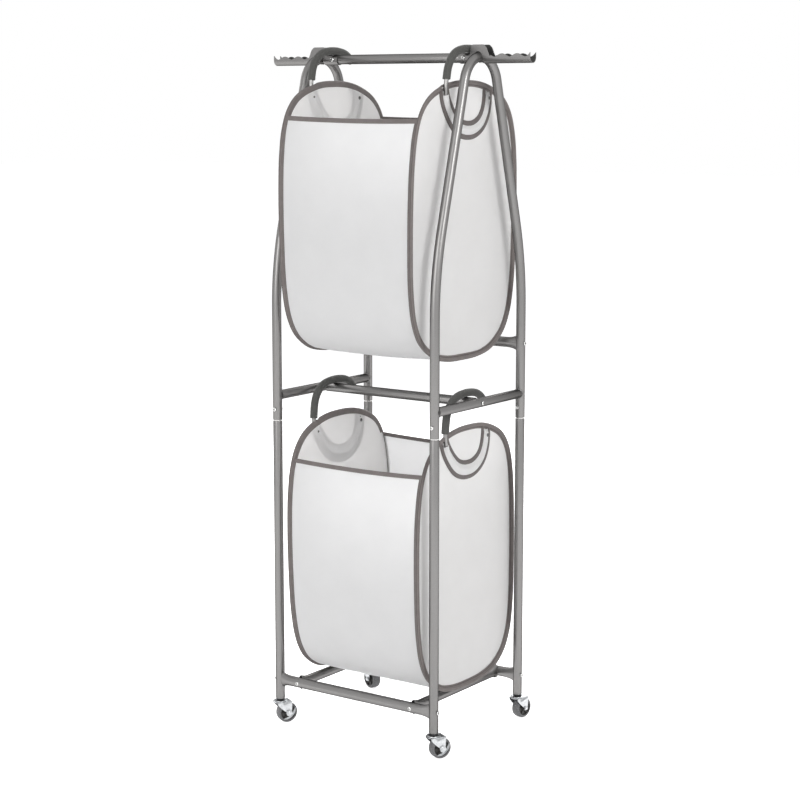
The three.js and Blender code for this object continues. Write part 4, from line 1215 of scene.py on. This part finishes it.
def ring_path(cut, count=96):
    """The hook ring's middle line as y and z, from the front crossing round below to the rear one."""
    middle_z = ring_middle(cut)
    places = []
    for i in range(count + 1):
        angle = math.radians(ring_start + (ring_end - ring_start) * i / count)
        side_y, side_z = math.cos(angle), math.sin(angle)
        y = math.copysign(abs(side_y) ** ring_fullness, side_y) * ring_half_depth
        z = middle_z + math.copysign(abs(side_z) ** ring_fullness, side_z) * ring_half_height
        places.append(Vector(drawn_in(cut, y, z)))
    return places


def distance_to_path(place, path):
    """How far a place is from the nearest station of a path."""
    return min((place - station).length for station in path)


def rod_ridge(cut, place, near, edge):
    """How far the rod presses the panel inward, where the sleeve holds it."""
    if near > ridge_end:
        return 0.0
    clear_of_rim = max(0.0, min(1.0, (distance_to_path(place, edge) - rim_shadow) / rim_shadow_run))
    pushed = ridge_least + (ridge_most - ridge_least) * press_share(cut, place.x, place.y)
    return pushed * clear_of_rim * math.exp(-(near / ridge_width) ** 2)


def panel_point(cut, side, place, edge, path, margin):
    """Where a point of the panel hangs: draped a little, and pressed in along the rod."""
    by_ring = abs(place.x) < sleeve_zone[0] and place.y > cut["bar"] - sleeve_zone[1]
    near = distance_to_path(place, path) if by_ring else 1.0
    drape = drape_depth * noise.noise(Vector((place.x * 7.0, place.y * 5.0, cut["seed"] + side)))
    drape *= margin * max(0.0, min(1.0, (near - ridge_end) / drape_run))
    x = side * (panel_face + panel_stand - rod_ridge(cut, place, near, edge) + drape)
    return x, place.x, place.y


panels = {}
for bin_name, cut in bin_cuts.items():
    edge = panel_outline(cut, panel_inset)
    path = ring_path(cut)
    half = outline_count // 2
    for side, word in sides:
        rows, uv_rows = [], []
        for r in range(half + 1):
            front, rear = edge[(outline_count - r) % outline_count], edge[r]
            off_ends = min(1.0, r / 13.0, (half - r) / 13.0)
            row, uv_row = [], []
            for c in range(panel_columns + 1):
                share = c / panel_columns
                place = front.lerp(rear, share)
                margin = min(1.0, 12.0 * share * (1.0 - share)) * off_ends
                row.append(panel_point(cut, side, place, edge, path, margin))
                uv_row.append((place.x, place.y))
            rows.append(row)
            uv_rows.append(uv_row)
        panel = hang(woven_sheet(f"{bin_name}_end_panel_{word}", rows, uv_rows), cut)
        settled(panel, 60.0)
        panels[bin_name, word] = (panel, surface_area(panel))
        thick_cloth(panel, panel_cloth)
        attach(panel, f"{bin_name}_bin")
        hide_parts(f"{bin_name}_bin_panel_{word}")


# Rims: a spring wire runs round each panel's edge inside a folded grey-brown binding, which is ribbed and
# stitched down near its inner edge. It lies flatter where the hook rod crosses it in front.
rib_pitch = 0.0011
stitch_line = 0.0035
stitch_width = 0.00035
stitch_pitch = 0.0034
stitch_length = 0.0025
edge_shade_width = 0.0010
rod_crossing = -0.088
rod_reach = 0.021
rod_reach_run = 0.011
seam_bulk = 0.0012
seam_run = 0.008
rim_wander = 0.00022


def ribbed_binding(name, light, dark, edge_shade, edge_lines):
    """Ribs across the tape, one row of stitches along it, dark lines of painted shade along its folded edges
    and a slightly uneven dye.
    """
    finish, nodes, links, skin = plain_finish(name, light, 0.0, 0.78)
    skin.inputs["Sheen Weight"].default_value = 0.12
    place = nodes.new("ShaderNodeTexCoord")
    split = nodes.new("ShaderNodeSeparateXYZ")
    links.new(place.outputs["UV"], split.inputs[0])
    along, around = split.outputs["X"], split.outputs["Y"]
    row = reckoned(nodes, links, "COMPARE", around, stitch_line, stitch_width)
    beat = reckoned(nodes, links, "MODULO", along, stitch_pitch)
    dash = reckoned(nodes, links, "LESS_THAN", beat, stitch_length)
    thread = reckoned(nodes, links, "MULTIPLY", row, dash)
    stitches = raised(nodes, links, thread, 0.8, 0.0003)
    ribs = bands(nodes, links, "X", rib_pitch, 0.4, 2.0)
    links.new(raised(nodes, links, ribs, 0.6, 0.00018, stitches), skin.inputs["Normal"])
    dye = grain_of(nodes, links, 60.0, 5.0)
    # Painted shade: dark lines along the tape's folded edges, where the fold turns away from the light.
    on_lines = [reckoned(nodes, links, "COMPARE", around, line, edge_shade_width) for line in edge_lines]
    edged = nodes.new("ShaderNodeMixRGB")
    edged.inputs["Color2"].default_value = (*edge_shade, 1.0)
    links.new(reckoned(nodes, links, "MAXIMUM", *on_lines), edged.inputs["Fac"])
    links.new(two_tints(nodes, links, dye, dark, light, 0.3), edged.inputs["Color1"])
    links.new(edged.outputs["Color"], skin.inputs["Base Color"])
    return finish


# The third tone is the painted shade on the tapes' edge lines.
tape_light, tape_dark, tape_edge_shade = (0.205, 0.181, 0.174), (0.172, 0.151, 0.145), (0.105, 0.090, 0.086)
binding = ribbed_binding("grey_brown_binding", tape_light, tape_dark, tape_edge_shade, (0.0066, 0.0225))


def folded_section(squash):
    """The binding's section: outward from its middle line, and away from the bin's inside."""
    lowest, highest = 0.0001, 0.0084 - 0.0063 * squash
    bead_middle = (lowest + highest) / 2.0
    bead_half = (highest - lowest) / 2.0
    bead = []
    for i in range(13):
        angle = math.radians(-90.0 + 180.0 * i / 12.0)
        bead.append((0.0021 + 0.0042 * math.cos(angle), bead_middle + bead_half * math.sin(angle)))
    leg = [(-0.0010, highest - 0.0007 * (1.0 - squash)), (-0.0028, 0.0035 - 0.0009 * squash),
           (-0.0045, 0.0025 - 0.0002 * squash), (-0.0080, 0.0023), (-0.0083, 0.0020), (-0.0083, 0.0004),
           (-0.0080, 0.0000), (-0.0045, 0.0000)]
    return bead + leg + [bead[0]]


# The points of the folded section that lie on the panel, and step off it where the sling is sewn in.
inner_leg = (18, 19, 20)


def wrapped_strip(name, rows, runs):
    """A closed section carried along a run, with a map of the run and the way round the section."""
    uv_rows = []
    for row, run in zip(rows, runs):
        around, uv_row = 0.0, [(run, 0.0)]
        for before, point in zip(row, row[1:]):
            around += (point - before).length
            uv_row.append((run, around))
        uv_rows.append(uv_row)
    return woven_sheet(name, rows, uv_rows)


def bound_edge(name, cut, side):
    """The binding swept round the whole panel."""
    stations = panel_outline(cut, rim_width / 2.0, 240)
    count = len(stations)
    rows, runs, run = [], [], 0.0
    for i in range(count + 1):
        here, before, after = stations[i % count], stations[i - 1], stations[(i + 1) % count]
        travel = (after - before).normalized()
        outward = Vector((travel.y, -travel.x))
        in_front = here.x < 0.0
        near_rod = abs(here.x - rod_crossing) if in_front and here.y > ring_middle(cut) else 1.0
        squash = eased((rod_reach - near_rod) / rod_reach_run)
        hem_drop = cut["front_hem"] if in_front else cut["rear_hem"]
        sewn_in = max(0.0, min(1.0, (cut["bar"] - hem_drop - here.y) / seam_run))
        uneven = rim_wander * noise.noise(Vector((run * 30.0, cut["seed"], float(side))))
        row = []
        for spot, (out, away) in enumerate(folded_section(squash)):
            if spot in inner_leg:
                away += seam_bulk * sewn_in
            place = here + outward * (out + uneven)
            row.append(Vector((side * (panel_face + away - 0.0008 * squash), place.x, place.y)))
        rows.append(row)
        runs.append(run)
        run += (after - here).length
    return settled(hang(wrapped_strip(name, rows, runs), cut), 50.0)


rims = {}
for bin_name, cut in bin_cuts.items():
    for side, word in sides:
        rim = bound_edge(f"{bin_name}_rim_binding_{word}", cut, side)
        rim.data.materials.append(binding)
        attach(rim, f"{bin_name}_bin")
        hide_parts(f"{bin_name}_bin_panel_{word}")
        rims[bin_name, word] = rim


# Hook sleeves: a crescent of the panel's own cloth, drawn tight over the rod and edged on both sides with
# the same binding. It is widest at the bottom and runs up under the rim at both ends.
base_height = 0.0016
tape_rise = 0.0014
tape_slope = 0.0120
band_end_half = 0.0080
sleeve_mouth = 0.013
sleeve_tail = 0.004
tuck_front = 0.006
tuck_rear = 0.007
tail_lift = 0.26
tail_run = 0.016
tail_flat_run = 0.006
turn_in = 0.0030
rod_end_run = 0.012
# The tape's section, from one edge to the other: share of its half width, and height.
tape_section = ((-1.0, -0.0004), (-0.98, 0.0008), (-0.8, 0.0013), (0.0, 0.0014), (0.8, 0.0013),
                (0.98, 0.0008), (1.0, -0.0004), (0.0, -0.0004), (-1.0, -0.0004))
sleeve_tape = ribbed_binding("sleeve_tape_binding", (0.160, 0.141, 0.135), (0.130, 0.114, 0.109), tape_edge_shade,
                             (0.0006, 0.0122))
sleeve_cloth = woven_cloth("white_sleeve_cloth", (0.885, 0.875, 0.87), (0.86, 0.85, 0.845), 0.0016)


def band_half(cut, share):
    """Half the white band's width along the sleeve, front mouth to rear end."""
    belly = math.sin(math.pi * min(1.0, max(0.0, share))) ** 0.9
    return band_end_half + cut["band_belly"] * belly


def cloth_over_rod(out, half, lift, press):
    """The cloth's height at a distance from the rod's middle line: flat tapes with a tent between them."""
    shoulder = tape_rise * lift
    if abs(out) > half:
        return shoulder * max(0.0, 1.0 - (abs(out) - half) / tape_slope)
    rod_height = (hook_offset - sleeve_press * press - base_height) * lift
    wrap = (rod_radius + cloth_thickness) * lift
    reach = math.hypot(half, rod_height - shoulder)
    leave = math.acos(min(1.0, wrap / reach)) - math.atan2(rod_height - shoulder, half)
    touch = (wrap * math.cos(leave), rod_height + wrap * math.sin(leave))
    if abs(out) < touch[0]:
        return rod_height + math.sqrt(max(0.0, wrap ** 2 - out ** 2))
    return touch[1] + (shoulder - touch[1]) * (abs(out) - touch[0]) / (half - touch[0])


def sleeve_lift(cut, here, length, total):
    """One over the rod, and less where the rod has ended and the sleeve runs on flat under the rim."""
    rod_end = cut["bar"] - sleeve_drop
    past_rod = max(0.0, here.y - rod_end) if here.x > 0.0 else 0.0
    flat = tail_lift * min(1.0, max(0.0, (total - tail_flat_run - length) / tail_run))
    return flat + (1.0 - flat) * max(0.0, 1.0 - past_rod / rod_end_run) ** 1.5


def sleeve_run(cut):
    """The part of the ring's middle line that lies on the panel, inside the rim's inner edge."""
    edge = panel_outline(cut, rim_width + 0.001, 240)
    inside = []
    for place in ring_path(cut, 216):
        crossings = 0
        for here, after in zip(edge, edge[1:] + edge[:1]):
            if (here.y > place.y) != (after.y > place.y):
                cross = here.x + (place.y - here.y) / (after.y - here.y) * (after.x - here.x)
                crossings += place.x < cross
        if crossings % 2 == 1:
            inside.append(place)
    return inside


def path_frames(run):
    """Each station with its outward normal from the ring's middle and its length along the run."""
    frames, length = [], 0.0
    for i, here in enumerate(run):
        before, after = run[max(0, i - 1)], run[min(len(run) - 1, i + 1)]
        travel = (after - before).normalized()
        frames.append((here, Vector((travel.y, -travel.x)), length))
        if i + 1 < len(run):
            length += (run[i + 1] - here).length
    return frames


def extended(run, front, rear):
    """The run lengthened at both ends, so that tapes tuck under the rim."""
    start = run[0] + (run[0] - run[2]).normalized() * front
    end = run[-1] + (run[-1] - run[-3]).normalized() * rear
    return [start] + run + [end]


def sleeve_lie(cut, frame_at, total):
    """Half the white band's width at a station, the rod's lift of the cloth, and its press inward."""
    here, outward, length = frame_at
    half = band_half(cut, length / total)
    return half, sleeve_lift(cut, here, length, total), press_share(cut, here.x, here.y)


def sleeve_edging(name, cut, whole, side, edge_sign):
    """The tape along one edge of the sleeve, tucked under the rim at both ends."""
    rows = []
    for here, outward, length in whole:
        half, lift, press = sleeve_lie(cut, (here, outward, length), whole[-1][2])
        row = []
        for share, away in tape_section:
            out = edge_sign * (half + cut["tape_half"]) + cut["tape_half"] * share
            place = here + outward * out
            height = base_height + cloth_over_rod(out, half, max(0.02, lift), press) + away
            row.append(Vector((side * (panel_face + height), place.x, place.y)))
        rows.append(row)
    return hang(wrapped_strip(name, rows, [length for here, outward, length in whole]), cut)


def sleeve_band(name, cut, whole, side):
    """The sleeve's white cloth over the rod, from its mouth in front to its end at the rear."""
    total = whole[-1][2]
    rows, uv_rows = [], []
    for here, outward, length in whole:
        if length < sleeve_mouth or length > total - sleeve_tail:
            continue
        half, lift, press = sleeve_lie(cut, (here, outward, length), total)
        row, uv_row = [], []
        for i in range(33):
            out = (half + turn_in) * (-1.0 + 2.0 * i / 32.0)
            place = here + outward * out
            height = base_height + cloth_over_rod(out, half, lift, press)
            row.append((side * (panel_face + height), place.x, place.y))
            uv_row.append((length, out))
        rows.append(row)
        uv_rows.append(uv_row)
    return hang(woven_sheet(name, rows, uv_rows), cut)


sleeves = {}
for bin_name, cut in bin_cuts.items():
    whole = path_frames(extended(sleeve_run(cut), tuck_front, tuck_rear))
    for side, word in sides:
        trim = []
        for edge_word, edge_sign in (("inner", -1.0), ("outer", 1.0)):
            tape = sleeve_edging(f"{bin_name}_sleeve_tape_{edge_word}_{word}", cut, whole, side, edge_sign)
            settled(tape, 45.0)
            tape.data.materials.append(sleeve_tape)
            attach(tape, f"{bin_name}_bin")
            trim.append(tape)
        sleeve = sleeve_band(f"{bin_name}_rod_sleeve_{word}", cut, whole, side)
        settled(sleeve, 60.0)
        sleeves[bin_name, word] = (sleeve, surface_area(sleeve), whole, trim)
        thick_cloth(sleeve, sleeve_cloth)
        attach(sleeve, f"{bin_name}_bin")


# Rivets: small burnished rivets with an open eye hold the rod near both ends of its sleeve; the eye is a flat
# near-black disk, painted shade in place of the hole. The rear one goes through to the inner face, and the
# front one is smaller and shows only there.
rivet_ring = speckled_finish("burnished_rivet", (0.20, 0.195, 0.19), 1.0, 0.35, 900.0, (0.28, 0.45), 0.08,
                             0.0001, ((0.15, 0.145, 0.14), (0.26, 0.255, 0.25)))
# Painted shade: the near-black disk that fills each rivet's eye in place of the shade inside the hole.
rivet_eye_shade = speckled_finish("rivet_eye_painted_shade", (0.02, 0.02, 0.02), 0.0, 0.7, 900.0, (0.6, 0.8), 0.1, 0.0001,
                            ((0.014, 0.014, 0.014), (0.03, 0.03, 0.03)))
ring_profile = [(0.0020, 0.0005), (0.0026, 0.0011), (0.0034, 0.0013), (0.0042, 0.0008), (0.0044, -0.0002),
                (0.0020, -0.0002), (0.0020, 0.0005)]
eye_profile = [(0.0, 0.0003), (0.0023, 0.0005), (0.0023, -0.0002), (0.0, -0.0002)]
small_rivet = 0.62
front_rivet_run = 0.018
rear_rivet_run = 0.020
inner_face_stand = 0.0006


def set_rivet(name, cut, side, station, height, facing_sign, size):
    """A rivet at a station of the sleeve, at a height over the panel, facing out or in."""
    rivet = turned_piece(name, [(size * radius, size * rise) for radius, rise in ring_profile], 24)
    rivet.data.materials.append(rivet_ring)
    eye = turned_piece("eye", [(size * radius, rise) for radius, rise in eye_profile], 20)
    eye.data.materials.append(rivet_eye_shade)
    rivet = joined(name, [rivet, eye])
    place = (side * height, station.x, station.y)
    rivet.data.transform(facing(place, (side * facing_sign, 0.0, 0.0)))
    return hang(rivet, cut)


for bin_name, cut in bin_cuts.items():
    edge = panel_outline(cut, panel_inset)
    for side, word in sides:
        sleeve, sleeve_area, whole, trim = sleeves[bin_name, word]
        sleeve_length = whole[-1][2]
        for end_word, goal, size in (
            ("rear", sleeve_length - rear_rivet_run, 1.0),
            ("front", front_rivet_run, small_rivet),
        ):
            frame_at = min(whole, key=lambda each: abs(each[2] - goal))
            half, lift, press = sleeve_lie(cut, frame_at, sleeve_length)
            here = frame_at[0]
            top = panel_face + base_height + cloth_over_rod(0.0, half, lift, press) + cloth_thickness / 2.0
            bottom = panel_face + inner_face_stand - rod_ridge(cut, here, 0.0, edge)
            for face_word, facing_sign, height in (("outer", 1.0, top), ("inner", -1.0, bottom)):
                if end_word == "front" and face_word == "outer":
                    continue
                rivet = set_rivet(f"{bin_name}_rivet_{end_word}_{face_word}_{word}", cut, side, here, height,
                                  facing_sign, size)
                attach(rivet, f"{bin_name}_bin")
                trim.append(rivet)
        panel, area = panels[bin_name, word]
        rim = rims[bin_name, word]
        height = cut["crown"] - cut["foot"]


# Slings: one long sheet of the same cloth down the front, under and up the back, sewn into the bindings of
# both end panels. It sags between them along its open edges and its bottom.
sling_inset = 0.0049
sling_reach = panel_face + 0.0004
sling_columns = 110
hem_reach = 0.045
wander_depth = 0.0011
crease_depth = 0.0013
piping_inset = 0.0012
hem_over = 0.0005
piping_radius = 0.0009
# The hem's section, as share of its depth and distance off the cloth, and the seam's, as inward and out.
hem_section = ((0.0, -0.0013), (-0.08, 0.0), (0.0, 0.0013), (0.20, 0.0019), (0.52, 0.0017), (0.85, 0.0014),
               (0.98, 0.0010), (1.0, 0.0), (0.98, -0.0010), (0.85, -0.0014), (0.52, -0.0017), (0.20, -0.0019),
               (0.0, -0.0013))
seam_section = ((-0.0008, 0.0010), (0.0020, 0.0012), (0.0048, 0.0010), (0.0054, 0.0006), (0.0056, 0.0001),
                (0.0020, 0.0001), (-0.0008, 0.0010))
sling_cloth = woven_cloth("white_sling_cloth", (0.885, 0.885, 0.895), (0.86, 0.86, 0.87), 0.0030)
hem_tape = ribbed_binding("hem_binding", tape_light, tape_dark, tape_edge_shade, (0.0029, 0.0120))
thin_piping = speckled_finish("thin_seam_piping", (0.33, 0.32, 0.31), 0.0, 0.8, 900.0, (0.7, 0.9), 0.2,
                              0.0001, ((0.28, 0.27, 0.26), (0.40, 0.39, 0.38)))


def sling_run(cut):
    """The sheet's line as y and z, from the front hem down, under and up to the rear hem."""
    outline = panel_outline(cut, sling_inset)
    middle = len(outline) // 2
    front = [place for place in outline[middle:] if place.y < cut["bar"] - cut["front_hem"]]
    rear = [place for place in outline[:middle] if place.y < cut["bar"] - cut["rear_hem"]]
    return front + rear


def sling_point(cut, place, outward, x, share):
    """Where a point of the sling hangs: sagging at the hems and the bottom, bellied a little between."""
    middle = max(0.0, 1.0 - (x / panel_face) ** 2)
    at_front, at_rear = math.exp(-share / hem_reach), math.exp(-(1.0 - share) / hem_reach)
    hem_pull = cut["hem_pull"] * middle * (at_front + at_rear)
    hem_pull -= cut["hem_tilt"] * (0.5 - 0.5 * x / panel_face) * at_front
    belly = cut["sag"] * middle * (0.35 + 0.65 * math.sin(math.pi * share) ** 3)
    wander = noise.noise(Vector((x * 5.0, share * 9.0 + cut["seed"], 1.7)))
    crease = noise.noise(Vector((x * 16.0 + share * 10.0, share * 24.0 - x * 9.0, cut["seed"])))
    low = math.exp(-((share - 0.40) / 0.09) ** 2) + 0.6 * math.exp(-((share - 0.6) / 0.09) ** 2)
    ruck = (wander_depth * wander + crease_depth * crease * low) * middle ** 0.35
    spot = place + outward * (belly + ruck)
    return Vector((x, spot.x, spot.y - hem_pull))


def hem_edging(name, cut, edge_row, next_row, way_out):
    """The binding folded over one end of the sling, along its whole width."""
    rows, runs, run = [], [], 0.0
    for c, top in enumerate(edge_row):
        down = (next_row[c] - top).normalized()
        thick = Vector((0.0, -down.z, down.y)) * way_out
        if c > 0:
            run += (top - edge_row[c - 1]).length
        rows.append([top + down * (share * cut["hem_depth"] - hem_over) + thick * out
                     for share, out in hem_section])
        runs.append(run)
    return hang(wrapped_strip(name, rows, runs), cut)


def seam_edging(name, cut, frames, side):
    """The narrow tape along the sling where it meets an end panel."""
    rows = []
    for here, outward, length in frames:
        share = length / frames[-1][2]
        row = []
        for inward, lift in seam_section:
            point = sling_point(cut, here, outward, side * (panel_face - inward), share)
            row.append(point + Vector((0.0, outward.x, outward.y)) * (lift + cloth_thickness / 2.0))
        rows.append(row)
    return hang(wrapped_strip(name, rows, [length for here, outward, length in frames]), cut)


def inner_piping(name, cut, frames, side):
    """The thin piping inside the bin, in the corner between the sling and an end panel."""
    rows, uv_rows = [], []
    for here, outward, length in frames:
        middle = here - outward * piping_inset
        row, uv_row = [], []
        for i in range(9):
            angle = 2.0 * math.pi * i / 8.0
            place = middle + outward * (piping_radius * math.cos(angle))
            x = panel_face - 0.0004 + piping_radius * math.sin(angle)
            row.append((side * x, place.x, place.y))
            uv_row.append((length, piping_radius * angle))
        rows.append(row)
        uv_rows.append(uv_row)
    return hang(woven_sheet(name, rows, uv_rows), cut)


for bin_name, cut in bin_cuts.items():
    frames = path_frames(sling_run(cut))
    total = frames[-1][2]
    across = [sling_reach * (2.0 * c / sling_columns - 1.0) for c in range(sling_columns + 1)]
    rows = [[sling_point(cut, here, outward, x, length / total) for x in across]
            for here, outward, length in frames]
    uv_rows = [[(x, length) for x in across] for here, outward, length in frames]
    sling = hang(woven_sheet(f"{bin_name}_bin_sling_sheet", rows, uv_rows), cut)
    settled(sling, 60.0)
    thick_cloth(sling, sling_cloth)
    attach(sling, f"{bin_name}_bin")
    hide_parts(f"{bin_name}_bin_sling")

    trim = []
    for hem_word, edge_row, next_row, way_out in (
        ("front", rows[0], rows[1], 1.0),
        ("rear", rows[-1], rows[-2], -1.0),
    ):
        hem = hem_edging(f"{bin_name}_{hem_word}_hem_binding", cut, edge_row, next_row, way_out)
        settled(hem, 50.0)
        hem.data.materials.append(hem_tape)
        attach(hem, f"{bin_name}_bin")
        trim.append(hem)
    for side, word in sides:
        seam = seam_edging(f"{bin_name}_seam_binding_{word}", cut, frames, side)
        settled(seam, 50.0)
        seam.data.materials.append(binding)
        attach(seam, f"{bin_name}_bin")
        trim.append(seam)
        piping = inner_piping(f"{bin_name}_corner_piping_{word}", cut, frames, side)
        settled(piping, 60.0)
        piping.data.materials.append(thin_piping)
        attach(piping, f"{bin_name}_bin")
        trim.append(piping)
